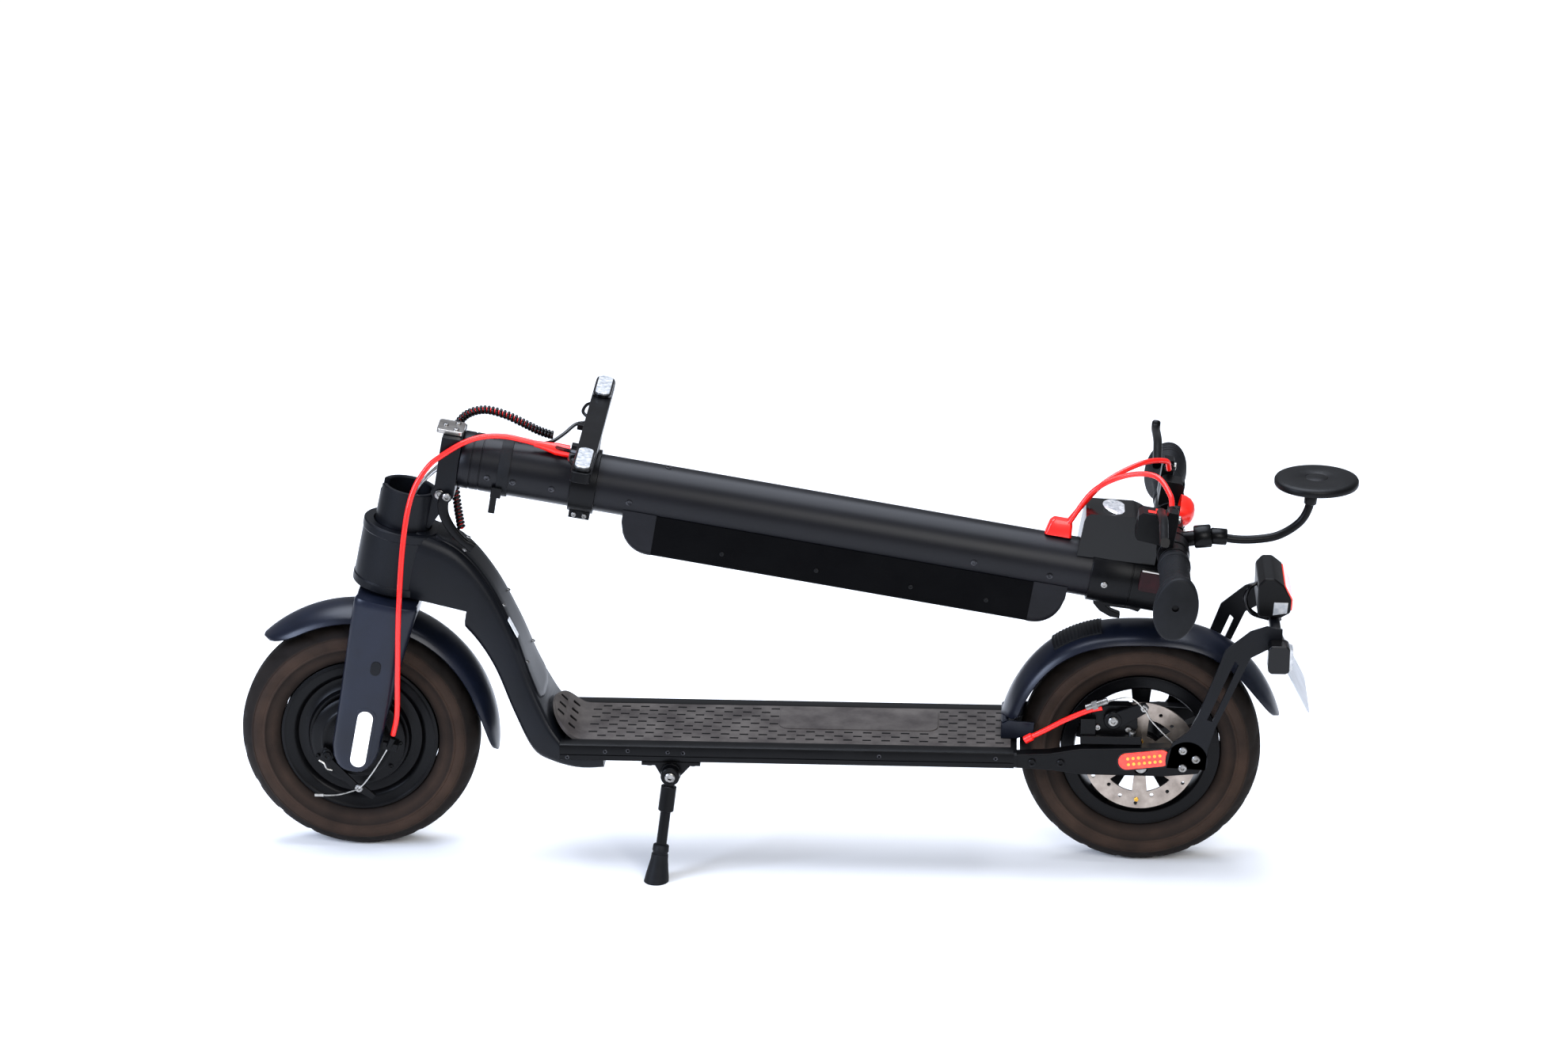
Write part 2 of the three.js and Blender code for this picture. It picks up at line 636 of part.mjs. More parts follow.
// ---------------------------------------------------------------- fork and collar
function fork() {
  const legs = [-1, 1].map((side) => {
    const shape = new THREE.Shape();
    shape.moveTo(-31.5, CROWN_TOP);
    shape.lineTo(-30, 100);
    shape.lineTo(-25, 10);
    shape.absarc(0, 0, 25, Math.PI - 0.1, 2 * Math.PI + 0.1, false);
    shape.lineTo(31, 100);
    shape.lineTo(36, CROWN_TOP);
    const y0 = side * FORK_INNER;
    const y1 = side * FORK_HALF_WIDTH;
    return slab(shape, Math.min(y0, y1), Math.max(y0, y1), 8);
  });
  const crown = box(-31.5, 36, -FORK_HALF_WIDTH, FORK_HALF_WIDTH, 150.5, CROWN_TOP);
  const steerer = rod([0, 0, CROWN_TOP - 2], [0, 0, COLLAR_TOP - CUP_DEPTH - 12], STEERER_RADIUS, 20);
  const bore = disc(0, 0, AXLE_RADIUS + GAP, -80, 80, 16);
  return cut(join(crown, ...legs, steerer), bore);
}

put(steer, "fork", fork(), finish("#23242c", 0.4, 0.3));
put(steer, "front_axle", rod([0, -FORK_HALF_WIDTH + 4, 0], [0, FORK_HALF_WIDTH - 4, 0],
  AXLE_RADIUS, 14), steel());

function headsetBearing() {
  const ring = turned([
    [STEERER_RADIUS + GAP, HEAD_TOP - 26], [STEERER_RADIUS + 6 - GAP, HEAD_TOP - 26],
    [STEERER_RADIUS + 6 - GAP, HEAD_TOP - 12], [STEERER_RADIUS + GAP, HEAD_TOP - 12],
  ], 24);
  ring.rotateX(Math.PI / 2);
  return ring;
}

put(steer, "headset_bearing", headsetBearing(), steel());

const LUG_HALF = 14; // half width of the collar's tongue at the pin
function collar() {
  const low = HEAD_TOP - 4;
  const outer = rod([0, 0, low], [0, 0, COLLAR_TOP], COLLAR_RADIUS, 32);
  const tongue = slab(outline([
    [20, 246], [30, 246], [39, 270], [PIN_OFFSET + 10, PIN_HEIGHT - 5],
    [PIN_OFFSET + 10, PIN_HEIGHT + 3], [PIN_OFFSET + 5, PIN_HEIGHT + 9],
    [PIN_OFFSET - 5, PIN_HEIGHT + 8], [20, COLLAR_TOP],
  ]), -LUG_HALF, LUG_HALF);
  const cup = rod([0, 0, COLLAR_TOP - CUP_DEPTH], [0, 0, COLLAR_TOP + 30], CUP_RADIUS, 28);
  const socket = rod([0, 0, low - 20], [0, 0, COLLAR_TOP - CUP_DEPTH - 12 + GAP],
    STEERER_RADIUS + GAP, 20);
  const notch = box(-40, -12, -9, 9, COLLAR_TOP - 9, COLLAR_TOP + 5);
  const pinHole = disc(PIN_OFFSET, PIN_HEIGHT, PIN_RADIUS + GAP, -40, 40, 16);
  return cut(join(outer, tongue), cup, socket, notch, pinHole);
}

put(steer, "fork_collar", collar(), satinBlack());
put(steer, "hinge_pin", disc(PIN_OFFSET, PIN_HEIGHT, PIN_RADIUS, -28, 28, 16), steel());

// the front fender follows the wheel, so it is drawn about the axle in the steering group
const tiltDegrees = THREE.MathUtils.radToDeg(STEER_TILT);
put(steer, "front_fender", fender(
  new THREE.Vector3(), -6.6 + tiltDegrees, 132.6 + tiltDegrees, [0.2, 0.12],
), finish("#23242c", 0.4, 0.3));

const drumRing = [
  [AXLE_RADIUS + GAP, -36.5], [50, -33], [50, -28], [AXLE_RADIUS + GAP, -28],
];
put(steer, "drum_plate", turned(drumRing, 32), matteBlack());

const CAM = [-28, -18.5]; // the drum brake's cam, in the steering group
const CABLE_CLAMP = [11.4, -47.7];
function drumArm() {
  const [x, z] = CAM;
  const hub = disc(x, z, 7, -44.5, -37.5, 14);
  const [tx, tz] = CABLE_CLAMP;
  const lever = slab(outline([
    [x - 1, z + 6], [x + 5, z - 3], [tx - 1, tz + 3], [tx + 5, tz + 3], [tx + 19, tz - 5],
    [tx + 16, tz - 10], [tx - 5, tz - 4], [x - 5, z - 5],
  ]), -44, -40.5);
  const clampScrew = disc(tx, tz, 4, -48, -42, 10);
  return join(hub, lever, clampScrew);
}

put(steer, "drum_arm", drumArm(), matteBlack());

// ---------------------------------------------------------------- stem
const BLOCK_HALF = 27;

function hingeBlock() {
  // two cheeks that straddle the collar's tongue, closed by a head that carries the tube
  const side = outline([
    [1 - STEM_RADIUS, 15 - GAP], [1 - STEM_RADIUS, -6], [-14, -6.8], [26.5, -6.8],
    [33.5, -10], [42, -5], [44, 4],
    [34, 15 - GAP],
  ]);
  const gap = box(-20, 60, -LUG_HALF - GAP, LUG_HALF + GAP, -30, 11);
  const pinHole = disc(PIN_OFFSET, 0, PIN_RADIUS + GAP, -40, 40, 16);
  return cut(slab(side, -BLOCK_HALF, BLOCK_HALF), gap, pinHole);
}

function stemTube() {
  const tube = turned([
    [STEM_BORE, STEM_START], [STEM_RADIUS, STEM_START], [STEM_RADIUS, STEM_END - 4],
    [STEM_BORE, STEM_END - 4],
  ], 32);
  tube.rotateX(Math.PI / 2);
  return tube;
}

const SLEEVE_OUTER = STEM_RADIUS + GAP + SLEEVE_WALL;

function catchHook() {
  const back = SLEEVE_OUTER - 1;
  const shape = new THREE.Shape();
  shape.moveTo(back, SLEEVE_START + 2);
  shape.lineTo(back, 757);
  shape.lineTo(back + 5, 757);
  shape.lineTo(back + 6, 715);
  shape.lineTo(back + 9, 711);
  shape.lineTo(back + 12, 715);
  shape.lineTo(back + 12, 750);
  shape.lineTo(back + 15, 750);
  shape.lineTo(back + 16.5, 716);
  shape.quadraticCurveTo(back + 15, 690, back, SLEEVE_START + 2);
  return slab(shape, -5, 5, 6);
}

function stemHead() {
  // the casting on the stem's end: sleeve, handlebar clamp and catch hook
  const bore = rod([0, 0, 600], [0, 0, STEM_END], STEM_RADIUS + GAP, 28);
  const sleeve = rod([0, 0, SLEEVE_START], [0, 0, STEM_END + 6], SLEEVE_OUTER, 28);
  const block = slab(
    roundRect(-BAR_FORWARD - 16, -20, BAR_Z - 12, BAR_Z + 10, 6), -24, 24, 3,
  );
  const barHole = disc(-BAR_FORWARD, BAR_Z, BAR_RADIUS + GAP, -60, 60, 18);
  return cut(join(sleeve, block, catchHook()), bore, barHole);
}

function headlight() {
  const side = outline([
    [-26, 664], [-64, 664], [-68, 668], [-73, 716], [-70, 724], [-62, BAR_Z - 12 - GAP],
    [-26, BAR_Z - 12 - GAP],
  ]);
  const seat = rod([0, 0, 600], [0, 0, SLEEVE_START - GAP], STEM_RADIUS + GAP, 32);
  const sleeveSeat = rod([0, 0, SLEEVE_START - 2 * GAP], [0, 0, 800], SLEEVE_OUTER + GAP, 32);
  return cut(slab(side, -26, 26), seat, sleeveSeat);
}

function handlebar() {
  const bar = rod([-BAR_FORWARD, -BAR_HALF_LENGTH + 3, BAR_Z], [-BAR_FORWARD, BAR_HALF_LENGTH - 3, BAR_Z],
    BAR_RADIUS, 18);
  return bar;
}

function grip(side) {
  const end = side * BAR_HALF_LENGTH;
  const start = side * (BAR_HALF_LENGTH - GRIP_LENGTH);
  const stations = [
    [0, GRIP_RADIUS - 2, 1], [0.05, GRIP_RADIUS, 1], [0.5, GRIP_RADIUS - 1, 1],
    [0.72, GRIP_RADIUS + 2, 1.2], [0.9, GRIP_RADIUS + 5, 1.35], [0.98, GRIP_RADIUS + 5, 1.35],
    [1, GRIP_RADIUS + 3, 1.35],
  ];
  const rings = stations.map(([t, r, flat]) => {
    const ring = [];
    for (let i = 0; i < 16; i += 1) {
      const angle = (2 * Math.PI * i) / 16;
      const x = -BAR_FORWARD + r * Math.cos(angle) * flat;
      ring.push([x + (flat - 1) * 12, start + (end - start) * t, BAR_Z + r * Math.sin(angle)]);
    }
    return ring;
  });
  const hole = disc(-BAR_FORWARD, BAR_Z, BAR_RADIUS + GAP,
    Math.min(start - side * 5, end - side * 2.5), Math.max(start - side * 5, end - side * 2.5), 18);
  return cut(skin(rings), hole);
}

put(stem, "hinge_block", hingeBlock(), satinBlack());
put(stem, "stem_tube", stemTube(), matteBlack());
put(stem, "stem_head", stemHead(), matteBlack());
put(stem, "headlight_housing", headlight(), plasticBlack());
put(stem, "handlebar", handlebar(), matteBlack());
put(stem, "grip_left", grip(-1), rubberBlack());
put(stem, "grip_right", grip(1), rubberBlack());
put(stem, "latch_plate", box(-STEM_RADIUS - 4, 1 - STEM_RADIUS - GAP, -17, 17, -14, 14), steel());

// battery case: an extruded middle between two moulded caps, on the tube's lower side
function batteryPiece(from, to, round) {
  const w = BATTERY_HALF_WIDTH;
  const top = 8;
  const section = roundRect(top, BATTERY_DEPTH, -w, w, 12);
  const geometry = plate(section, from, to, 4);
  const seat = rod([0, 0, 0], [0, 0, 800], STEM_RADIUS + GAP, 32);
  if (!round) return cut(geometry, seat);
  const [low, high] = round > 0 ? [to - 34, to] : [from, from + 34];
  const profile = new THREE.Shape();
  const flat = round > 0 ? low : high;
  const far = round > 0 ? high : low;
  profile.moveTo(top - 5, round > 0 ? from - 5 : to + 5);
  profile.lineTo(BATTERY_DEPTH + 5, round > 0 ? from - 5 : to + 5);
  profile.lineTo(BATTERY_DEPTH + 5, flat);
  profile.lineTo(BATTERY_DEPTH, flat);
  profile.quadraticCurveTo(BATTERY_DEPTH, far, BATTERY_DEPTH - 28, far);
  profile.lineTo(top - 5, far);
  const keep = slab(profile, -80, 80, 8);
  const trimmed = toSolid(geometry).intersect(toSolid(keep));
  return cut(toGeometry(trimmed), seat);
}

put(stem, "battery_case", batteryPiece(
  BATTERY_START + BATTERY_CAP + GAP, BATTERY_END - BATTERY_CAP - GAP, 0,
), finish("#121214", 0.9));
put(stem, "battery_cap_lower", batteryPiece(BATTERY_START, BATTERY_START + BATTERY_CAP, -1),
  finish("#1e1e22", 0.75));
put(stem, "battery_cap_upper", batteryPiece(BATTERY_END - BATTERY_CAP, BATTERY_END, 1),
  finish("#1e1e22", 0.75));

// light bar: a square bar across the stem, strapped to it, with a lamp near each end
function lightBar() {
  const z0 = LIGHT_BAR_Z - LIGHT_BAR_WIDTH / 2;
  const z1 = LIGHT_BAR_Z + LIGHT_BAR_WIDTH / 2;
  const high = LIGHT_BAR_LOW + LIGHT_BAR_THICKNESS;
  const bar = box(-high, -LIGHT_BAR_LOW, -LIGHT_BAR_HALF_LENGTH, LIGHT_BAR_HALF_LENGTH, z0, z1);
  const post = box(-LIGHT_BAR_LOW - 1, -22, -15, 15, z0 + 1, z1 - 1);
  const ring = rod([0, 0, z0 - 3], [0, 0, z1 + 3], STEM_RADIUS + 4, 32);
  const lug = box(26, 38, -16, 16, z0 - 3, z1 + 3);
  const bore = rod([0, 0, z0 - 9], [0, 0, z1 + 9], STEM_RADIUS + GAP, 32);
  return cut(join(bar, post, ring, lug), bore);
}

put(stem, "light_bar", lightBar(), matteBlack());

// ---------------------------------------------------------------- controls on the handlebar
const PERCH_IN = 78;
const PERCH_OUT = 92;
const LEVER_PIVOT = [-98, 84];
const LEVER_TOP = BAR_Z - 17;
const LEVER_LOW = BAR_Z - 27;

function mirrorShape(points, side) {
  return outline(points.map(([x, y]) => [x, side * y]));
}

function onBar(y0, y1, radius, side) {
  return disc(-BAR_FORWARD, BAR_Z, radius, Math.min(side * y0, side * y1),
    Math.max(side * y0, side * y1), 20);
}

const barBore = () => disc(-BAR_FORWARD, BAR_Z, BAR_RADIUS + GAP, -300, 300, 18);

function sideBox(x0, x1, y0, y1, z0, z1, side) {
  return box(x0, x1, Math.min(side * y0, side * y1), Math.max(side * y0, side * y1), z0, z1);
}

function perch(side) {
  const ring = onBar(PERCH_IN, PERCH_OUT, 16, side);
  const arm = sideBox(-107, -62, PERCH_IN - 4, PERCH_OUT, LEVER_TOP + GAP, BAR_Z - 3, side);
  const barrel = rod([-101, side * (PERCH_IN - 5), BAR_Z - 10],
    [-101, side * (PERCH_IN + 4), BAR_Z - 10], 5.5, 12);
  return cut(join(ring, arm, barrel), barBore());
}

function lever(side) {
  const blade = mirrorShape([
    [-105, 78], [-97, 75], [-91, 80], [-92, 92], [-101, 112], [-104, 150], [-104, 184],
    [-107, 191], [-112, 191], [-115, 184], [-114, 150], [-111, 108], [-107, 90],
  ], side);
  return plate(blade, LEVER_LOW, LEVER_TOP);
}

function sideHousing(side, x0, x1) {
  const ring = onBar(50, 72, 17, side);
  const shell = sideBox(x0, x1, 48, 72, BAR_Z - 43, BAR_Z - 8, side);
  return cut(join(ring, shell), barBore());
}

function throttleLever() {
  const ring = onBar(41, 48, 18, 1);
  const stalk = box(-BAR_FORWARD + 8, -BAR_FORWARD + 38, 41, 48, BAR_Z - 4, BAR_Z + 4);
  const pad = box(-BAR_FORWARD + 24, -BAR_FORWARD + 40, 41, 66, BAR_Z - 4, BAR_Z + 4);
  return cut(join(ring, stalk, pad), barBore());
}

put(stem, "perch_left", perch(-1), matteBlack());
put(stem, "perch_right", perch(1), matteBlack());
put(stem, "brake_lever_left", lever(-1), matteBlack());
put(stem, "brake_lever_right", lever(1), matteBlack());
put(stem, "switch_box", sideHousing(-1, -95, -60), plasticBlack());
put(stem, "throttle_housing", sideHousing(1, -92, -60), plasticBlack());
put(stem, "throttle_lever", throttleLever(), plasticBlack());
const BUTTON_TRAVEL = 1.5;
const buttonLow = BAR_Z - 8 + BUTTON_TRAVEL + GAP;
put(stem, "horn_button", rod([-78, -60, buttonLow], [-78, -60, buttonLow + 3], 5, 14),
  finish("#c4161c", 0.5));

function foldLever() {
  const shape = new THREE.Shape();
  shape.moveTo(32, 12);
  shape.quadraticCurveTo(56, 18, 70, 31);
  shape.quadraticCurveTo(80, 36, 86, 30);
  shape.lineTo(87, 35);
  shape.quadraticCurveTo(79, 44, 67, 37);
  shape.quadraticCurveTo(48, 22, 30, 18);
  shape.lineTo(28, 8);
  shape.lineTo(32, 4);
  return slab(shape, -BLOCK_HALF - GAP - 6, -BLOCK_HALF - GAP, 5);
}

put(stem, "fold_lever", foldLever(), plasticBlack());

// mirror on a gooseneck, clamped on the bar; drawn in the frame's own axes
const MIRROR_Y = -34;
const MIRROR_RADIUS = 43.5;
const MIRROR_Z = 432;
const MIRROR_THICKNESS = 9.5;
const barCentre = new THREE.Vector3(-BAR_FORWARD, MIRROR_Y, BAR_Z)
  .applyAxisAngle(new THREE.Vector3(0, 1, 0), stem.rotation.y).add(stem.position);

function mirrorArm() {
  const [bx, bz] = [barCentre.x, barCentre.z];
  const ring = disc(bx, bz, 16, MIRROR_Y - 6, MIRROR_Y + 6, 20);
  const boss = rod([bx + 12, MIRROR_Y, bz + 5], ahead([486, MIRROR_Y, 375]), 9.5, 14, 8);
  const neck = cable([
    [480, MIRROR_Y, 376.5], [505, MIRROR_Y, 372], [529, MIRROR_Y, 372.5], [551, MIRROR_Y, 377.5],
    [571, MIRROR_Y, 391.5], [580, MIRROR_Y, 408], [583, MIRROR_Y, MIRROR_Z - 1.5],
  ].map(ahead), 4.5, 18, 8);
  const bore = disc(bx, bz, BAR_RADIUS + GAP, -80, 0, 18);
  return cut(join(ring, boss, neck), bore);
}

put(body, "mirror_arm", mirrorArm(), plasticBlack());
put(body, "mirror_head", rod(
  ahead([587, MIRROR_Y, MIRROR_Z]), ahead([587, MIRROR_Y, MIRROR_Z + MIRROR_THICKNESS]),
  MIRROR_RADIUS, 36,
), plasticBlack());

// ---------------------------------------------------------------- cables
const CABLE_RADIUS = 2.8;
const JOINER = BAR_Z - 114; // middle of the red joiner on the stem
put(stem, "control_cables", join(
  cable([[-101, -70.5, BAR_Z - 10], [-112, -58, BAR_Z - 14], [-121, -28, BAR_Z - 30],
    [-110, -8, BAR_Z - 58], [-86, -4, BAR_Z - 88], [-44, -4, JOINER + 6]], CABLE_RADIUS, 16),
  cable([[-101, 70.5, BAR_Z - 10], [-112, 57, BAR_Z - 16], [-112, 30, BAR_Z - 44],
    [-90, 8, BAR_Z - 80], [-44, 4, JOINER + 6]], CABLE_RADIUS, 14),
  box(-48, -STEM_RADIUS - 2 * GAP, -8, 8, JOINER - 15, JOINER + 12),
), cableRed());

put(body, "front_brake_cable", cable([
  [-203, -14, 468], [-240, -20, 478], [-283, -28, 474], [-322, -36, 451], [-349, -46, 411],
  [-357, -56, 360], [-362, -66, 290], [-365, -68, 215], [-368, -60, 168], [-374, -50, 142],
].map(ahead), CABLE_RADIUS, 22), cableRed());

put(body, "cable_loom", cable([
  [-196, 8, 479], [-224, 12, 489], [-256, 20, 499], [-284, 30, 499], [-306, 38, 478],
  [-314, 40, 440], [-314, 40, 405], [-308, 32, 372], [-300, 12, 360],
].map(ahead), 4.6, 18), plasticBlack());

// ---------------------------------------------------------------- assembly
const scooter = new THREE.Group();
scooter.add(body, steer, stem);
scooter.updateMatrixWorld(true);
const whole = new THREE.Box3().setFromObject(scooter, true);
const centre = whole.getCenter(new THREE.Vector3());
scooter.position.set(-centre.x, -centre.y, -whole.min.z);
scooter.updateMatrixWorld(true);

export default scooter;
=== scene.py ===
"""Looks of a folding electric kick scooter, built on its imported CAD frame.

Every sub-assembly is a class that makes its own pieces, and every finish is a frozen
dataclass that makes one procedural material. Shapes are written in millimetres in three
spaces that match the CAD model's own: the frame, the steering group and the folded stem.
"""

import logging
import math
from dataclasses import dataclass, field
from enum import Enum
from typing import Callable, Iterable, Sequence

import bmesh
import bpy
from mathutils import Matrix, Vector


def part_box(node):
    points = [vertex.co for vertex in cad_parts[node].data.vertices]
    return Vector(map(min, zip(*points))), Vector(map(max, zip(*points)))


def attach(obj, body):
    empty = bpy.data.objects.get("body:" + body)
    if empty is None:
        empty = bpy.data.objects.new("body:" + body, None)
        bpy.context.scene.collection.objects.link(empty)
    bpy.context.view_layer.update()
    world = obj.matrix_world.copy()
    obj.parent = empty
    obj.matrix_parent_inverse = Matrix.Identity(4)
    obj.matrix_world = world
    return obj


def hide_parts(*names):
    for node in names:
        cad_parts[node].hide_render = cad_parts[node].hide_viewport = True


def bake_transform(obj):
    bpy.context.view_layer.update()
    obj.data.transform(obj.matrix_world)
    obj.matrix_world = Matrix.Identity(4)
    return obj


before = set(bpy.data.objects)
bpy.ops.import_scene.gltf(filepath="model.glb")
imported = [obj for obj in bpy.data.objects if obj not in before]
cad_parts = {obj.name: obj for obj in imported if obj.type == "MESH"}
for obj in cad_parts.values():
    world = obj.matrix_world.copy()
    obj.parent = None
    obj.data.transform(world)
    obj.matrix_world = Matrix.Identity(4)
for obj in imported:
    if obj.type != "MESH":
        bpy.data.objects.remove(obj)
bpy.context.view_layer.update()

LOG = logging.getLogger("scooter")
MM = 0.001
Point = tuple[float, float, float]
Flat = tuple[float, float]


# ----------------------------------------------------------------- spaces
AXLE_X = 414.0
AXLE_Z = 127.0
STEER_TILT = math.radians(12)
FOLD_DROP = math.radians(9.46)
PIN_HEIGHT = 290.5
PIN_OFFSET = 33.5


def _offset() -> Vector:
    """Gives where the drawing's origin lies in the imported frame, in metres.

    Returns:
        The offset to add to a drawn point, taken from the rear axle's own box.
    """
    low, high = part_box("rear_axle")
    centre = (Vector(low) + Vector(high)) / 2
    return Vector((centre.x - AXLE_X * MM, centre.y, 0.0))


OFFSET = _offset()
BODY = Matrix.Translation(OFFSET) @ Matrix.Scale(MM, 4)
STEER = BODY @ Matrix.Translation((-AXLE_X, 0, AXLE_Z)) @ Matrix.Rotation(STEER_TILT, 4, "Y")
_PIN = Matrix.Rotation(STEER_TILT, 4, "Y") @ Vector((PIN_OFFSET, 0, PIN_HEIGHT))
_FOOT = _PIN + Vector((-AXLE_X, 0, AXLE_Z)) + PIN_OFFSET * Vector(
    (math.sin(FOLD_DROP), 0, math.cos(FOLD_DROP)))
STEM = BODY @ Matrix.Translation(_FOOT) @ Matrix.Rotation(math.pi / 2 + FOLD_DROP, 4, "Y")
FRONT_HUB = BODY @ Matrix.Translation((-AXLE_X, 0, AXLE_Z))
REAR_HUB = BODY @ Matrix.Translation((AXLE_X, 0, AXLE_Z))


# ----------------------------------------------------------------- finishes
def linear(code: str) -> tuple[float, float, float, float]:
    """Turns an sRGB hex code into a linear colour.

    Args:
        code: six hex digits, with or without a leading hash.

    Returns:
        Linear red, green, blue and alpha 1.
    """
    code = code.lstrip("#")
    out = []
    for i in (0, 2, 4):
        value = int(code[i:i + 2], 16) / 255
        out.append(value / 12.92 if value <= 0.04045 else ((value + 0.055) / 1.055) ** 2.4)
    return (out[0], out[1], out[2], 1.0)


def node(tree: bpy.types.NodeTree, kind: str, **inputs: object) -> bpy.types.Node:
    """Adds one shader node and sets its sockets.

    Args:
        tree: the material's node tree.
        kind: the node's type name.
        inputs: socket names with spaces as underscores, or attributes with a leading "at_".
            A socket given as a value is linked.

    Returns:
        The new node.
    """
    made = tree.nodes.new(kind)
    for name, value in inputs.items():
        if name.startswith("at_"):
            setattr(made, name[3:], value)
    for name, value in inputs.items():
        if name.startswith("at_"):
            continue
        socket = made.inputs[int(name[1:])] if name[0] == "i" and name[1:].isdigit() \
            else made.inputs[name.replace("_", " ")]
        if isinstance(value, bpy.types.NodeSocket):
            tree.links.new(value, socket)
        else:
            socket.default_value = value
    return made


@dataclass(frozen=True)
class Finish:
    """One surface finish and the numbers that set it.

    Args:
        name: the material's name.
        low: sRGB hex of the darker patches.
        high: sRGB hex of the lighter patches.
        rough: middle roughness.
        spread: how far roughness wanders either way.
        metal: metallic share.
        grain_mm: size of the fine grain that the bump follows.
        bump: bump strength.
        patch_mm: size of the colour patches.
        coat: clear coat weight.
        sheen: sheen weight.
        streak: stretches the grain along X, as brushing does.
        glow: emission strength of the surface's own colour, a painted glow that brightens it beyond what
            the lamps give.
        specular: strength of the mirror-like part of the surface.
    """

    name: str
    low: str
    high: str
    rough: float = 0.5
    spread: float = 0.08
    metal: float = 0.0
    grain_mm: float = 0.8
    bump: float = 0.15
    patch_mm: float = 60.0
    coat: float = 0.0
    sheen: float = 0.0
    streak: float = 1.0
    glow: float = 0.0
    specular: float = 0.5

    def material(self) -> bpy.types.Material:
        """Makes the material once and returns it.

        Returns:
            The material of this finish.
        """
        found = bpy.data.materials.get(self.name)
        if found:
            return found
        made = bpy.data.materials.new(self.name)
        made.use_nodes = True
        tree = made.node_tree
        shader = tree.nodes["Principled BSDF"]
        place = node(tree, "ShaderNodeTexCoord").outputs["Object"]
        if self.streak != 1.0:
            mapping = node(tree, "ShaderNodeMapping", Vector=place)
            mapping.inputs["Scale"].default_value = (1.0 / self.streak, 1.0, 1.0)
            place = mapping.outputs["Vector"]
        patches = node(tree, "ShaderNodeTexNoise", Vector=place,
                       Scale=1000.0 / self.patch_mm, Detail=4.0, Roughness=0.6)
        grain = node(tree, "ShaderNodeTexNoise", Vector=place,
                     Scale=1000.0 / self.grain_mm, Detail=2.0)
        colour = node(tree, "ShaderNodeValToRGB", Fac=patches.outputs["Fac"])
        colour.color_ramp.elements[0].position = 0.35
        colour.color_ramp.elements[1].position = 0.68
        colour.color_ramp.elements[0].color = linear(self.low)
        colour.color_ramp.elements[1].color = linear(self.high)
        tint = self.tint(tree, colour.outputs["Color"])
        tree.links.new(tint, shader.inputs["Base Color"])
        rough = node(tree, "ShaderNodeMapRange", Value=patches.outputs["Fac"],
                     To_Min=max(0.02, self.rough - self.spread),
                     To_Max=min(1.0, self.rough + self.spread))
        tree.links.new(rough.outputs["Result"], shader.inputs["Roughness"])
        bump = node(tree, "ShaderNodeBump", Height=grain.outputs["Fac"],
                    Strength=self.bump, Distance=0.0002)
        tree.links.new(bump.outputs["Normal"], shader.inputs["Normal"])
        shader.inputs["Metallic"].default_value = self.metal
        shader.inputs["Specular IOR Level"].default_value = self.specular
        shader.inputs["Coat Weight"].default_value = self.coat
        shader.inputs["Coat Roughness"].default_value = 0.12
        shader.inputs["Sheen Weight"].default_value = self.sheen
        # painted glow: the surface emits its own colour on top of the lamps' light
        if self.glow:
            tree.links.new(tint, shader.inputs["Emission Color"])
            shader.inputs["Emission Strength"].default_value = self.glow
        return made

    def tint(self, tree: bpy.types.NodeTree, colour: bpy.types.NodeSocket) -> bpy.types.NodeSocket:
        """Lets a finish add its own pattern over the base colour.

        Args:
            tree: the material's node tree.
            colour: the base colour's socket.

        Returns:
            The colour socket to use.
        """
        return colour


@dataclass(frozen=True)
class DustyTyre(Finish):
    """Tyre rubber with brown dust in rings on its side walls.

    Args:
        hub: the wheel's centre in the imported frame, in metres.
        dust: sRGB hex of the dust.
    """

    hub: Point = (0.0, 0.0, 0.0)
    dust: str = "#46352b"

    def tint(self, tree: bpy.types.NodeTree, colour: bpy.types.NodeSocket) -> bpy.types.NodeSocket:
        """Mixes dust in by the distance from the wheel's axle.

        Args:
            tree: the material's node tree.
            colour: the base colour's socket.

        Returns:
            The dusty colour.
        """
        place = node(tree, "ShaderNodeTexCoord").outputs["Object"]
        away = node(tree, "ShaderNodeVectorMath", at_operation="SUBTRACT", i0=place, i1=self.hub)
        flat = node(tree, "ShaderNodeVectorMath", at_operation="MULTIPLY",
                    i0=away.outputs["Vector"], i1=(1.0, 0.0, 1.0))
        radius = node(tree, "ShaderNodeVectorMath", at_operation="LENGTH", i0=flat.outputs["Vector"])
        bands = node(tree, "ShaderNodeValToRGB", Fac=node(
            tree, "ShaderNodeMapRange", Value=radius.outputs["Value"],
            From_Min=0.084, From_Max=0.127).outputs["Result"])
        ramp = bands.color_ramp
        ramp.elements[0].color = (0.15, 0.15, 0.15, 1)
        ramp.elements[1].color = (0.1, 0.1, 0.1, 1)
        for position, level in ((0.2, 0.7), (0.37, 0.3), (0.42, 1.0), (0.66, 0.8), (0.74, 0.1)):
            ramp.elements.new(position).color = (level, level, level, 1)
        cloud = node(tree, "ShaderNodeTexNoise", Vector=place, Scale=28.0, Detail=5.0)
        level = node(tree, "ShaderNodeMath", at_operation="MULTIPLY",
                     i0=bands.outputs["Color"], i1=cloud.outputs["Fac"])
        mix = node(tree, "ShaderNodeMix", at_data_type="RGBA", Factor=level.outputs["Value"])
        tree.links.new(colour, mix.inputs[6])
        mix.inputs[7].default_value = linear(self.dust)
        return mix.outputs[2]


@dataclass(frozen=True)
class ClearLens(Finish):
    """Clear moulded plastic over a bright reflector."""

    def material(self) -> bpy.types.Material:
        """Makes a clear, slightly ribbed plastic.

        Returns:
            The lens material.
        """
        made = super().material()
        shader = made.node_tree.nodes["Principled BSDF"]
        shader.inputs["Transmission Weight"].default_value = 0.55
        shader.inputs["IOR"].default_value = 1.46
        return made


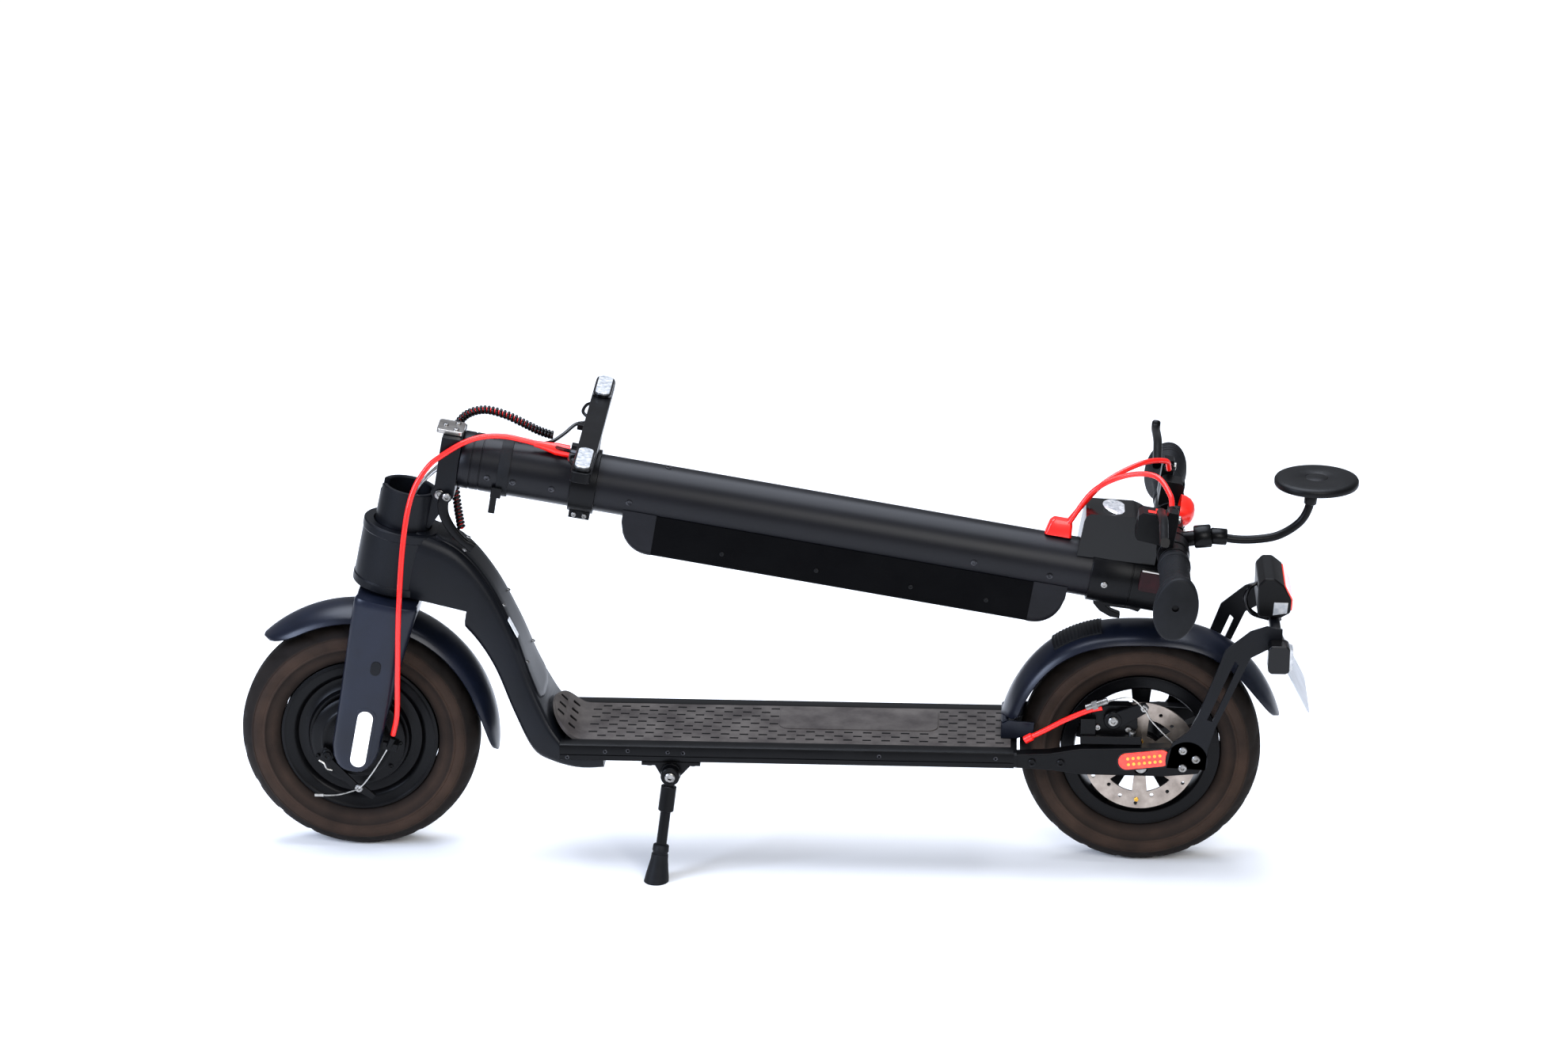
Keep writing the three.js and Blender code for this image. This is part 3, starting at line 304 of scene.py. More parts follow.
HUB_FRONT = tuple(FRONT_HUB.translation)
HUB_REAR = tuple(REAR_HUB.translation)

# powder coat: a soft blue-black sheen with a fine orange peel
SATIN = Finish("satin_powder_coat", "#07080b", "#0c0e13", 0.36, 0.06, 0.0, 0.9, 0.15, 90, 0.0,
               specular=0.16)
# a touch lighter and bluer, as on the fork and mudguards
SATIN_FORK = Finish("satin_fork_paint", "#0c0f18", "#131826", 0.3, 0.05, 0.15, 0.9, 0.12, 90, 0.0,
                    specular=0.3)
# fine dry matte, which spreads the highlight along the round tube
MATTE = Finish("matte_tube_paint", "#060609", "#0b0b10", 0.38, 0.05, 0.0, 0.6, 0.12, 120, specular=0.2)
# deep black anodised or painted alloy with crisp highlights
BLACK_ALLOY = Finish("black_alloy", "#030304", "#070708", 0.34, 0.08, 0.0, 1.2, 0.12, 30,
                     specular=0.13)
# moulded housings, lightly textured
PLASTIC = Finish("moulded_plastic", "#050506", "#0a0a0b", 0.42, 0.08, 0.0, 0.7, 0.2, 40, specular=0.16)
# glossier plastic for lamp bodies
GLOSS_PLASTIC = Finish("gloss_plastic", "#040405", "#080809", 0.22, 0.06, 0.0, 1.5, 0.05, 40, 0.0,
                       specular=0.25)
# battery middle: a dull woven wrap that hardly reflects
WRAP = Finish("battery_wrap", "#040405", "#080809", 0.85, 0.05, 0.0, 0.5, 0.35, 50, specular=0.05)
# battery caps: slightly greyer moulding
CAP = Finish("battery_cap_plastic", "#0c0c0f", "#131317", 0.5, 0.06, 0.0, 0.8, 0.2, 40, specular=0.16)
# grip and foot rubber, soft and slightly dusty
RUBBER = Finish("grip_rubber", "#0a0b0d", "#121316", 0.55, 0.1, 0.0, 0.6, 0.3, 25, specular=0.16)
# deck mat: warm worn grey-brown rubber
MAT = Finish("deck_mat_rubber", "#383331", "#55504c", 0.75, 0.08, 0.0, 0.7, 0.4, 35, specular=0.2)
# the mat's dashes: painted shade, near-black so the raised dashes read as sunk grooves in shadow
MAT_DASH_PAINTED_SHADE = Finish("deck_mat_dash", "#060606", "#0d0c0c", 0.8, 0.06, 0.0, 0.7, 0.3, 20, specular=0.1)
TYRE_FRONT = DustyTyre("tyre_rubber_front", "#0e0c0b", "#171412", 0.75, 0.08, 0.0, 1.0, 0.3, 30,
                       specular=0.12, hub=HUB_FRONT)
TYRE_REAR = DustyTyre("tyre_rubber_rear", "#0e0c0b", "#171412", 0.75, 0.08, 0.0, 1.0, 0.3, 30,
                      specular=0.12, hub=HUB_REAR)
# saturated cable jacket with a soft shine
RED_CABLE = Finish("red_cable_jacket", "#f80d05", "#ff1a0c", 0.35, 0.05, 0.0, 1.5, 0.05, 30, 0.2)
# brushed and machined steels
STEEL = Finish("bare_steel", "#a5a09a", "#c9c5bf", 0.3, 0.08, 1.0, 0.4, 0.1, 20, streak=6)
DISC_STEEL = Finish("brake_disc_steel", "#8d8279", "#b3a79c", 0.36, 0.08, 0.9, 0.5, 0.15, 15)
BOLT = Finish("bolt_steel", "#6f6d6a", "#a3a19e", 0.3, 0.1, 1.0, 0.5, 0.1, 8)
BRASS = Finish("brass", "#b8862c", "#e0b552", 0.3, 0.08, 1.0, 0.5, 0.1, 10)
WIRE = Finish("bare_wire", "#9d9a94", "#d8d5cf", 0.3, 0.08, 1.0, 0.3, 0.1, 6)
# red reflectors and tail lamp lens; the emission is a painted glow that brightens them beyond what the
# lamps give
RED_LENS_PAINTED_GLOW = Finish("red_reflector", "#e01208", "#ff3a12", 0.2, 0.05, 0.0, 2.5, 0.6, 6, 0.6, glow=0.35)
# amber reflector facets and indicator bulbs; the emission is a painted glow that brightens them beyond
# what the lamps give
AMBER_PAINTED_GLOW = Finish("amber_facet", "#ff8a14", "#ffb43a", 0.25, 0.05, 0.0, 1.0, 0.3, 4, 0.4, glow=0.3)
# white fork reflectors; the emission is a painted glow that brightens them beyond what the lamps give
WHITE_LENS_PAINTED_GLOW = Finish("white_reflector", "#f2f2f2", "#ffffff", 0.25, 0.05, 0.0, 2.0, 0.2, 10, 0.5,
                    glow=0.5)
LENS = ClearLens("clear_lens", "#d5dbe2", "#ffffff", 0.12, 0.04, 0.0, 2.0, 0.5, 6, 0.6)
# silver reflectors of the headlight and bar lamps; the emission is a painted reflection that brightens
# them beyond what the lamps give
SILVER_PAINTED_GLOW = Finish("lamp_reflector", "#a4aab2", "#f3f5f8", 0.18, 0.05, 0.6, 1.5, 0.4, 5, glow=0.35)
# small blackened screws with worn, lighter rims
SCREW = Finish("dark_screw", "#1d1d1f", "#4a4a4d", 0.35, 0.1, 0.9, 0.5, 0.15, 5)
RED_PAINT = Finish("red_dome_paint", "#e8140c", "#ff2616", 0.28, 0.05, 0.0, 1.5, 0.05, 20, 0.4)
BLANK_PLATE = Finish("blank_plate", "#a9adb4", "#c4c8cf", 0.35, 0.05, 0.0, 1.0, 0.05, 30)
LABEL = Finish("blank_label", "#cfd2d6", "#eceef0", 0.4, 0.05, 0.0, 1.0, 0.05, 10)
MIRROR = Finish("mirror_glass", "#c9ced2", "#d9dde0", 0.04, 0.01, 1.0, 3.0, 0.0, 40)
ALLOY_CASE = Finish("cast_case", "#8d9094", "#a4a7aa", 0.5, 0.08, 0.8, 1.0, 0.2, 20)
BURGUNDY = Finish("latch_tab_plastic", "#1c080a", "#2c0e12", 0.45, 0.06, 0.0, 0.8, 0.1, 12,
                  specular=0.16)


# ----------------------------------------------------------------- mesh making
@dataclass
class Shape:
    """Vertices and faces in millimetres, collected before they become one piece."""

    verts: list[Point] = field(default_factory=list)
    faces: list[tuple[int, ...]] = field(default_factory=list)

    def add(self, verts: Iterable[Point], faces: Iterable[Sequence[int]]) -> "Shape":
        """Adds a closed body.

        Args:
            verts: its corners.
            faces: its faces, counted from its own first corner.

        Returns:
            This shape.
        """
        start = len(self.verts)
        self.verts.extend(tuple(v) for v in verts)
        self.faces.extend(tuple(start + i for i in f) for f in faces)
        return self

    def loft(self, rings: Sequence[Sequence[Point]], closed: bool = False) -> "Shape":
        """Adds a skin through rings of equal counts.

        Args:
            rings: the rings in order.
            closed: joins the last ring to the first in place of end caps.

        Returns:
            This shape.
        """
        count = len(rings[0])
        total = len(rings)
        faces: list[tuple[int, ...]] = []
        for r in range(total if closed else total - 1):
            a, b = r * count, ((r + 1) % total) * count
            for i in range(count):
                j = (i + 1) % count
                faces.append((a + i, a + j, b + j, b + i))
        if not closed:
            faces.append(tuple(reversed(range(count))))
            faces.append(tuple(range((total - 1) * count, total * count)))
        return self.add([p for ring in rings for p in ring], faces)

    def prism(self, points: Sequence[Flat], low: float, high: float, across: str = "Y") -> "Shape":
        """Adds a flat outline made thick.

        Args:
            points: the outline. Across "Y" it is in X and Z, across "Z" in X and Y, and
                across "X" in Y and Z.
            low: where the thickness starts.
            high: where it ends.
            across: the axis of the thickness.

        Returns:
            This shape.
        """
        place: dict[str, Callable[[float, float, float], Point]] = {
            "Y": lambda u, v, w: (u, w, v),
            "Z": lambda u, v, w: (u, v, w),
            "X": lambda u, v, w: (w, u, v),
        }
        put = place[across]
        return self.loft([[put(u, v, low) for u, v in points], [put(u, v, high) for u, v in points]])

    def box(self, x0: float, x1: float, y0: float, y1: float, z0: float, z1: float) -> "Shape":
        """Adds a box by its faces' places and returns this shape."""
        return self.prism([(x0, y0), (x1, y0), (x1, y1), (x0, y1)], z0, z1, "Z")

    def turn(self, profile: Sequence[Flat], steps: int = 64, centre: Flat = (0, 0),
             axis: str = "Y") -> "Shape":
        """Adds a ring turned from a closed profile of (radius, height) pairs.

        Args:
            profile: the closed profile.
            steps: how many stations the turn has.
            centre: the axis's place across the axis.
            axis: "Y" or "Z".

        Returns:
            This shape.
        """
        rings = []
        for i in range(steps):
            a = 2 * math.pi * i / steps
            if axis == "Y":
                ring = [(centre[0] + r * math.cos(a), h, centre[1] + r * math.sin(a))
                        for r, h in profile]
            else:
                ring = [(centre[0] + r * math.cos(a), centre[1] + r * math.sin(a), h)
                        for r, h in profile]
            rings.append(ring)
        return self.loft(rings, closed=True)

    def rod(self, start: Point, end: Point, radius: float, end_radius: float | None = None,
            steps: int = 24, chamfer: float = 0.0) -> "Shape":
        """Adds a round rod between two points.

        Args:
            start: the first end.
            end: the other end.
            radius: its radius at the start.
            end_radius: its radius at the end, where it differs.
            steps: sides of the rod.
            chamfer: how far the ends are chamfered.

        Returns:
            This shape.
        """
        a, b = Vector(start), Vector(end)
        way = (b - a).normalized()
        side = way.orthogonal().normalized()
        over = way.cross(side)
        far = radius if end_radius is None else end_radius
        stations = [(0.0, radius), ((b - a).length, far)]
        if chamfer:
            stations = [(0.0, radius - chamfer), (chamfer, radius),
                        ((b - a).length - chamfer, far), ((b - a).length, far - chamfer)]
        rings = []
        for distance, r in stations:
            ring = []
            for i in range(steps):
                t = 2 * math.pi * i / steps
                ring.append(tuple(a + way * distance + (side * math.cos(t) + over * math.sin(t)) * r))
            rings.append(ring)
        return self.loft(rings)

    def pipe(self, points: Sequence[Point], radius: float | Callable[[float], float],
             steps: int = 48, sides: int = 12) -> "Shape":
        """Adds a round tube along a smooth curve through points.

        Args:
            points: the points on the curve.
            radius: the tube's radius, or a function of the share of its length.
            steps: stations along it.
            sides: sides around it.

        Returns:
            This shape.
        """
        path = smooth(points, steps)
        rings = []
        side = None
        for i, p in enumerate(path):
            way = (path[min(i + 1, len(path) - 1)] - path[max(i - 1, 0)]).normalized()
            if side is None:
                side = way.orthogonal().normalized()
            side = (side - way * side.dot(way)).normalized()
            over = way.cross(side)
            r = radius(i / (len(path) - 1)) if callable(radius) else radius
            rings.append([tuple(p + (side * math.cos(t) + over * math.sin(t)) * r)
                          for t in (2 * math.pi * k / sides for k in range(sides))])
        return self.loft(rings)

    def helix(self, points: Sequence[Point], radius: float, wire: float, pitch: float,
              sides: int = 6) -> "Shape":
        """Adds a wire wound round a smooth curve.

        Args:
            points: the points on the curve.
            radius: how far the wire winds from it.
            wire: the wire's own radius.
            pitch: distance between its turns.
            sides: sides of the wire.

        Returns:
            This shape.
        """
        path = smooth(points, 60)
        length = sum((b - a).length for a, b in zip(path, path[1:]))
        turns = length / pitch
        count = int(turns * 12)
        spine = smooth(points, count)
        side = None
        wound = []
        for i, p in enumerate(spine):
            way = (spine[min(i + 1, count)] - spine[max(i - 1, 0)]).normalized()
            if side is None:
                side = way.orthogonal().normalized()
            side = (side - way * side.dot(way)).normalized()
            over = way.cross(side)
            t = 2 * math.pi * turns * i / count
            wound.append(p + (side * math.cos(t) + over * math.sin(t)) * radius)
        rings = []
        for i, p in enumerate(wound):
            way = (wound[min(i + 1, count)] - wound[max(i - 1, 0)]).normalized()
            out = (p - spine[i]).normalized()
            over = way.cross(out).normalized()
            rings.append([tuple(p + (out * math.cos(t) + over * math.sin(t)) * wire)
                          for t in (2 * math.pi * k / sides for k in range(sides))])
        return self.loft(rings)


def smooth(points: Sequence[Point], steps: int) -> list[Vector]:
    """Samples a Catmull-Rom curve through points.

    Args:
        points: the points it passes through.
        steps: how many stretches it is cut into.

    Returns:
        steps + 1 points evenly spread by parameter.
    """
    ps = [Vector(p) for p in points]
    if len(ps) == 2:
        return [ps[0].lerp(ps[1], i / steps) for i in range(steps + 1)]
    knots = [0.0]
    for a, b in zip(ps, ps[1:]):
        knots.append(knots[-1] + max(1e-6, (b - a).length) ** 0.5)
    out = []
    slopes = []
    for i in range(len(ps)):
        lo, hi = max(i - 1, 0), min(i + 1, len(ps) - 1)
        slopes.append((ps[hi] - ps[lo]) / (knots[hi] - knots[lo]))
    for s in range(steps + 1):
        t = knots[-1] * s / steps
        i = max(k for k in range(len(ps) - 1) if knots[k] <= t + 1e-9)
        h = knots[i + 1] - knots[i]
        u = (t - knots[i]) / h
        out.append(ps[i] * (2 * u ** 3 - 3 * u ** 2 + 1) + slopes[i] * h * (u ** 3 - 2 * u ** 2 + u)
                   + ps[i + 1] * (3 * u ** 2 - 2 * u ** 3) + slopes[i + 1] * h * (u ** 3 - u ** 2))
    return out


def rounded(x0: float, x1: float, y0: float, y1: float, r: float, steps: int = 6) -> list[Flat]:
    """Gives a rounded rectangle's outline.

    Args:
        x0: its left.
        x1: its right.
        y0: its bottom.
        y1: its top.
        r: its corner radius.
        steps: stretches in each corner.

    Returns:
        The outline's points.
    """
    out = []
    for cx, cy, start in ((x1 - r, y1 - r, 0), (x0 + r, y1 - r, 90), (x0 + r, y0 + r, 180),
                          (x1 - r, y0 + r, 270)):
        for i in range(steps + 1):
            a = math.radians(start + 90 * i / steps)
            out.append((cx + r * math.cos(a), cy + r * math.sin(a)))
    return out


def arc(cx: float, cy: float, r: float, start: float, end: float, steps: int = 10) -> list[Flat]:
    """Gives points on an arc, with its angles in degrees."""
    return [(cx + r * math.cos(math.radians(start + (end - start) * i / steps)),
             cy + r * math.sin(math.radians(start + (end - start) * i / steps)))
            for i in range(steps + 1)]


def piece(name: str, shape: Shape, finish: Finish, space: Matrix, body: str,
          stands_for: Sequence[str] = (), bevel: float = 0.0, subdivide: int = 0,
          angle: float = 35.0, ride: bool = True, cuts: Shape | None = None) -> bpy.types.Object:
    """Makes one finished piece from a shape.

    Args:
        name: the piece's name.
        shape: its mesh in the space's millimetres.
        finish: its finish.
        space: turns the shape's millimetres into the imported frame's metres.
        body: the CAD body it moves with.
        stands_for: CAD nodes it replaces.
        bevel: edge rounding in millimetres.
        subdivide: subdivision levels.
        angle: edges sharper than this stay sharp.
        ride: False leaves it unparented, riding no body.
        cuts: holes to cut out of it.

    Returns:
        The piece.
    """
    def build(label: str, source: Shape) -> bpy.types.Object:
        """Makes an object from a shape.

        Args:
            label: the object's name.
            source: its shape.

        Returns:
            The object, linked to the scene.
        """
        mesh = bpy.data.meshes.new(label)
        mesh.from_pydata([tuple(space @ Vector(v)) for v in source.verts], [], source.faces)
        work = bmesh.new()
        work.from_mesh(mesh)
        bmesh.ops.recalc_face_normals(work, faces=work.faces)
        work.to_mesh(mesh)
        work.free()
        made = bpy.data.objects.new(label, mesh)
        bpy.context.scene.collection.objects.link(made)
        return made

    def apply(target: bpy.types.Object) -> None:
        """Bakes an object's modifiers into its mesh.

        Args:
            target: the object.
        """
        graph = bpy.context.evaluated_depsgraph_get()
        baked = bpy.data.meshes.new_from_object(target.evaluated_get(graph))
        target.modifiers.clear()
        target.data = baked

    obj = build(name, shape)
    if cuts is not None:
        tool = build(name + "_cut", cuts)
        knife = obj.modifiers.new("cut", "BOOLEAN")
        knife.object = tool
        knife.operation = "DIFFERENCE"
        knife.solver = "EXACT"
        knife.use_self = True
        apply(obj)
        bpy.data.objects.remove(tool, do_unlink=True)
    obj.data.materials.clear()
    obj.data.materials.append(finish.material())
    obj.data.shade_smooth()
    if not subdivide:
        obj.data.set_sharp_from_angle(angle=math.radians(angle))
    if bevel:
        edge = obj.modifiers.new("edge", "BEVEL")
        edge.width = bevel * MM
        edge.segments = 2
        edge.limit_method = "ANGLE"
        edge.angle_limit = math.radians(angle)
        edge.harden_normals = True
    if subdivide:
        fine = obj.modifiers.new("fine", "SUBSURF")
        fine.levels = fine.render_levels = subdivide
    if bevel or subdivide:
        apply(obj)
    if ride:
        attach(obj, body)
    if stands_for:
        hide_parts(*stands_for)
    return obj


def bolt(shape: Shape, at: Point, way: Point, radius: float = 4.0, height: float = 2.5) -> Shape:
    """Adds a round socket screw head with a hexagonal recess's rim.

    Args:
        shape: the shape to add to.
        at: where the head sits.
        way: the direction it faces.
        radius: the head's radius.
        height: the head's height.

    Returns:
        The shape.
    """
    a, w = Vector(at), Vector(way).normalized()
    side = w.orthogonal().normalized()
    over = w.cross(side)
    rings = []
    for distance, r, count in ((0, radius, 0), (height * 0.75, radius, 0), (height, radius * 0.82, 0),
                               (height, radius * 0.5, 6), (height * 0.4, radius * 0.42, 6)):
        ring = []
        for i in range(12):
            t = 2 * math.pi * i / 12
            grow = 1.0 if not count else (1.0 if i % 2 == 0 else 0.9)
            ring.append(tuple(a + w * distance + (side * math.cos(t) + over * math.sin(t)) * r * grow))
        rings.append(ring)
    return shape.loft(rings)


# ----------------------------------------------------------------- sub-assemblies
class Side(Enum):
    """Which side of the scooter a piece is on."""

    LEFT = -1
    RIGHT = 1


def on_axis(height: float, ahead: float = 0.0) -> Point:
    """Gives a point on or beside the steering axis in the frame's millimetres."""
    way = Matrix.Rotation(STEER_TILT, 4, "Y") @ Vector((ahead, 0, height))
    return (way.x - AXLE_X, way.y, way.z + AXLE_Z)


@dataclass
class Studio:
    """Floor, lights and camera.

    Args:
        target: what the camera looks at, in the drawing's millimetres.
        distance: how far it stands off, in millimetres.
        azimuth: its azimuth in degrees.
        elevation: its elevation in degrees.
        lens: its focal length on a 36 mm sensor.
        floor: half of the floor's side, in metres.
    """

    target: Point = (36.8, 0.0, 369.6)
    distance: float = 4968.0
    azimuth: float = 2.865
    elevation: float = 19.82
    lens: float = 109.09
    floor: float = 1.8

    def build(self) -> None:
        """Makes the floor, the world, the lights and the camera."""
        mesh = bpy.data.meshes.new("floor")
        far = self.floor
        corners = [(-far, -far, 0), (far, -far, 0), (far, far, 0), (-far, far, 0)]
        mesh.from_pydata(corners, [], [(0, 1, 2, 3)])
        floor = bpy.data.objects.new("floor", mesh)
        bpy.context.scene.collection.objects.link(floor)
        mesh.materials.append(Finish("pale_floor", "#f7f7f7", "#fbfbfb", 0.9, 0.02, 0, 3.0, 0.0,
                                     900).material())
        world = bpy.data.worlds.new("studio")
        bpy.context.scene.world = world
        world.use_nodes = True
        tree = world.node_tree
        dim = tree.nodes["Background"]
        dim.inputs["Color"].default_value = linear("#eef2fb")
        dim.inputs["Strength"].default_value = 0.3
        bright = node(tree, "ShaderNodeBackground", Color=linear("#ffffff"), Strength=1.05)
        seen = node(tree, "ShaderNodeLightPath")
        mix = node(tree, "ShaderNodeMixShader", i0=seen.outputs["Is Camera Ray"])
        tree.links.new(dim.outputs[0], mix.inputs[1])
        tree.links.new(bright.outputs[0], mix.inputs[2])
        tree.links.new(mix.outputs[0], tree.nodes["World Output"].inputs["Surface"])
        self.area("top", (-100, 500, 2700), (0, 0, 200), 2.6, 150, "#eaf1ff")
        self.area("left", (-2300, -1500, 1500), (-100, 0, 300), 1.3, 80, "#d6e4ff")
        self.area("key", (900, -2600, 1900), (0, 0, 250), 1.6, 55, "#ffffff")
        camera = bpy.data.cameras.new("camera")
        camera.lens = self.lens
        camera.sensor_width = 36.0
        camera.clip_end = 100
        holder = bpy.data.objects.new("camera", camera)
        a, e = math.radians(self.azimuth), math.radians(self.elevation)
        back = Vector((math.sin(a) * math.cos(e), -math.cos(a) * math.cos(e), math.sin(e)))
        target = BODY @ Vector(self.target)
        holder.location = target + back * self.distance * MM
        holder.rotation_euler = back.to_track_quat("Z", "Y").to_euler()
        bpy.context.scene.collection.objects.link(holder)
        bpy.context.scene.camera = holder
        bpy.context.scene.view_settings.view_transform = "Standard"

    def area(self, name: str, at: Point, to: Point, size: float, watts: float, colour: str) -> None:
        """Adds one soft area light.

        Args:
            name: its name.
            at: where it hangs, in millimetres.
            to: where it points.
            size: its side in metres.
            watts: its power.
            colour: its sRGB hex colour.
        """
        light = bpy.data.lights.new(name, "AREA")
        light.size = size
        light.energy = watts
        light.color = linear(colour)[:3]
        holder = bpy.data.objects.new(name, light)
        place, aim = BODY @ Vector(at), BODY @ Vector(to)
        holder.location = place
        holder.rotation_euler = (place - aim).to_track_quat("Z", "Y").to_euler()
        bpy.context.scene.collection.objects.link(holder)


@dataclass
class Wheels:
    """Both wheels with their tyres, the hub motor, the spoked rim and the brake disc."""

    tread_steps: int = 200

    def build(self) -> None:
        """Makes both wheels."""
        self.tyre("tyre_front_skin", FRONT_HUB, TYRE_FRONT, "front_wheel", "front_tyre")
        self.tyre("tyre_rear_skin", REAR_HUB, TYRE_REAR, "rear_wheel", "rear_tyre")
        self.motor()
        self.rim()
        self.disc()

    def tyre(self, name: str, space: Matrix, finish: Finish, body: str, stands_for: str) -> None:
        """Makes a tyre with ringed side walls and angled tread sipes.

        Args:
            name: the piece's name.
            space: its hub's frame.
            finish: its rubber.
            body: the wheel it turns with.
            stands_for: the CAD node it replaces.
        """
        half = [(84.6, 16.5), (86, 19.5), (90, 22.4), (96, 24.6), (99.6, 25.4), (100.4, 26.2),
                (102.4, 26.2), (103.2, 25.5), (108, 26.3), (112.2, 25.6), (113, 24.9), (114, 25.3),
                (118, 23.0), (121.4, 19.8), (124.2, 16.0), (126.2, 12.0), (126.9, 8.0), (127, 4.6),
                (125.6, 4.2), (125.6, 3.2), (127, 2.8), (127, 0.0)]
        profile = [(r, -y) for r, y in half] + [(r, y) for r, y in reversed(half[:-1])]
        shape = Shape()
        rings = []
        for i in range(self.tread_steps):
            a = 2 * math.pi * i / self.tread_steps
            ring = []
            for r, y in profile:
                sway = i + (3 if y > 0 else 0) + int(abs(y) / 2.4)
                if r > 115 and 9.5 < abs(y) < 24 and sway % 10 in (0, 1):
                    r -= 1.5
                ring.append((r * math.cos(a), y, r * math.sin(a)))
            rings.append(ring)
        shape.loft(rings, closed=True)
        piece(name, shape, finish, space, body, [stands_for], angle=40)

    def motor(self) -> None:
        """Makes the front wheel's hub motor with its rim flange and cover screws."""
        shape = Shape()
        shape.turn([(6.6, -20), (50, -20), (50, -23), (53, -23), (55, -16), (60, -13), (66, -13),
                    (69, -17), (72, -18.4), (78, -18.4), (81, -20), (83.8, -19), (83.8, 19), (81, 20),
                    (78, 18.4), (70, 18), (66, 13), (60, 13), (56, 22), (50, 24.5), (30, 26),
                    (6.6, 26)], 96)
        for i in range(8):
            a = math.radians(22.5 + 45 * i)
            bolt(shape, (46 * math.cos(a), 24.6, 46 * math.sin(a)), (0, 1, 0), 2.6, 1.6)
        piece("hub_motor_skin", shape, BLACK_ALLOY, FRONT_HUB, "front_wheel", ["hub_motor"], bevel=0.4)

    def rim(self) -> None:
        """Makes the spoked rear rim."""
        shape = Shape()
        shape.turn([(69, -15), (71, -18), (75, -18.4), (80, -18.4), (83.8, -19.5), (83.8, 19.5),
                    (80, 18.4), (75, 18.4), (71, 18), (69, 15)], 96)
        shape.turn([(6.6, -26), (22, -26), (25, -22), (25, 22), (22, 26), (6.6, 26)], 48)
        web = []
        for i in range(5):
            mid = 90 + 72 * i
            inner = arc(0, 0, 21, mid - 20, mid + 20, 6)
            outer = arc(0, 0, 71, mid + 9, mid - 9, 6)
            waist = [(38 * math.cos(t), 38 * math.sin(t))
                     for t in (math.radians(mid + 11), math.radians(mid - 11))]
            web.append(inner + waist[:1] + outer + waist[1:])
        for outline in web:
            shape.prism(outline, -9, 9)
        piece("rear_rim_skin", shape, BLACK_ALLOY, REAR_HUB, "rear_wheel", ["rear_rim"], bevel=0.8)
        valve = Shape().rod((-30, -6, -62), (-22, -7, -45), 2.6, chamfer=0.6, steps=16)
        piece("valve_stem", valve, BRASS, REAR_HUB, "rear_wheel")

    def disc(self) -> None:
        """Makes the drilled rear brake disc with its carrier arms."""
        y0, y1 = -32.1, -29.9
        shape = Shape().turn([(11, y0), (60, y0), (60, y1), (11, y1)], 120)
        cuts = Shape()
        for i in range(6):
            a = 60 * i
            outline = (arc(0, 0, 41.5, a - 19, a + 19, 8) + arc(0, 0, 22, a + 14, a - 14, 6))
            cuts.prism(outline, y0 - 2, y1 + 2)
        for i in range(18):
            a = math.radians(20 * i + 6)
            r = (50, 54.5, 46.5)[i % 3]
            cuts.prism(arc(r * math.cos(a), r * math.sin(a), 2.1, 0, 330, 11), y0 - 2, y1 + 2)
        piece("brake_disc_skin", shape, DISC_STEEL, REAR_HUB, "rear_wheel", ["brake_disc"], cuts=cuts)
        bolts = Shape()
        for i in range(6):
            a = math.radians(30 + 60 * i)
            bolt(bolts, (16 * math.cos(a), y0, 16 * math.sin(a)), (0, -1, 0), 2.6, 1.8)
        bolt(bolts, (-3, y0, -50), (0, -1, 0), 2.4, 1.2)
        piece("disc_bolts", bolts, BRASS, REAR_HUB, "rear_wheel")


def mudguard(rings_at: Callable[[float], float], start: float, end: float, taper: Flat,
             steps: int = 72) -> Shape:
    """Makes an arched mudguard about the origin in X and Z.

    Args:
        rings_at: crown radius at an angle in radians.
        start: first angle in degrees.
        end: last angle.
        taper: share of the length over which each end narrows.
        steps: stations along it.

    Returns:
        The mudguard's shape.
    """
    shape = Shape()
    rings = []
    for i in range(steps + 1):
        t = i / steps
        a = math.radians(start + (end - start) * t)
        close = min(1.0, t / taper[0], (1 - t) / taper[1])
        half = 34 * (0.24 + 0.76 * math.sqrt(max(0.0, 1 - (1 - close) ** 2)))
        ring = []
        outer = [1, 0.985, 0.94, 0.86, 0.7, 0.45, 0.2, 0, -0.2, -0.45, -0.7, -0.86, -0.94, -0.985, -1]
        for u in outer:
            y = u * half
            drop = 11 * (y / 34) ** 2 + 3.4 * max(0.0, abs(u) - 0.9) * 10 * (half / 34)
            r = rings_at(a) - drop
            ring.append((r * math.cos(a), y, r * math.sin(a)))
        for u in reversed(outer):
            y = u * (half - 1.4)
            drop = 11 * (y / 34) ** 2 + 3.4 * max(0.0, abs(u) - 0.9) * 10 * (half / 34)
            r = rings_at(a) - drop - 2.2
            ring.append((r * math.cos(a), y, r * math.sin(a)))
        rings.append(ring)
    return shape.loft(rings)


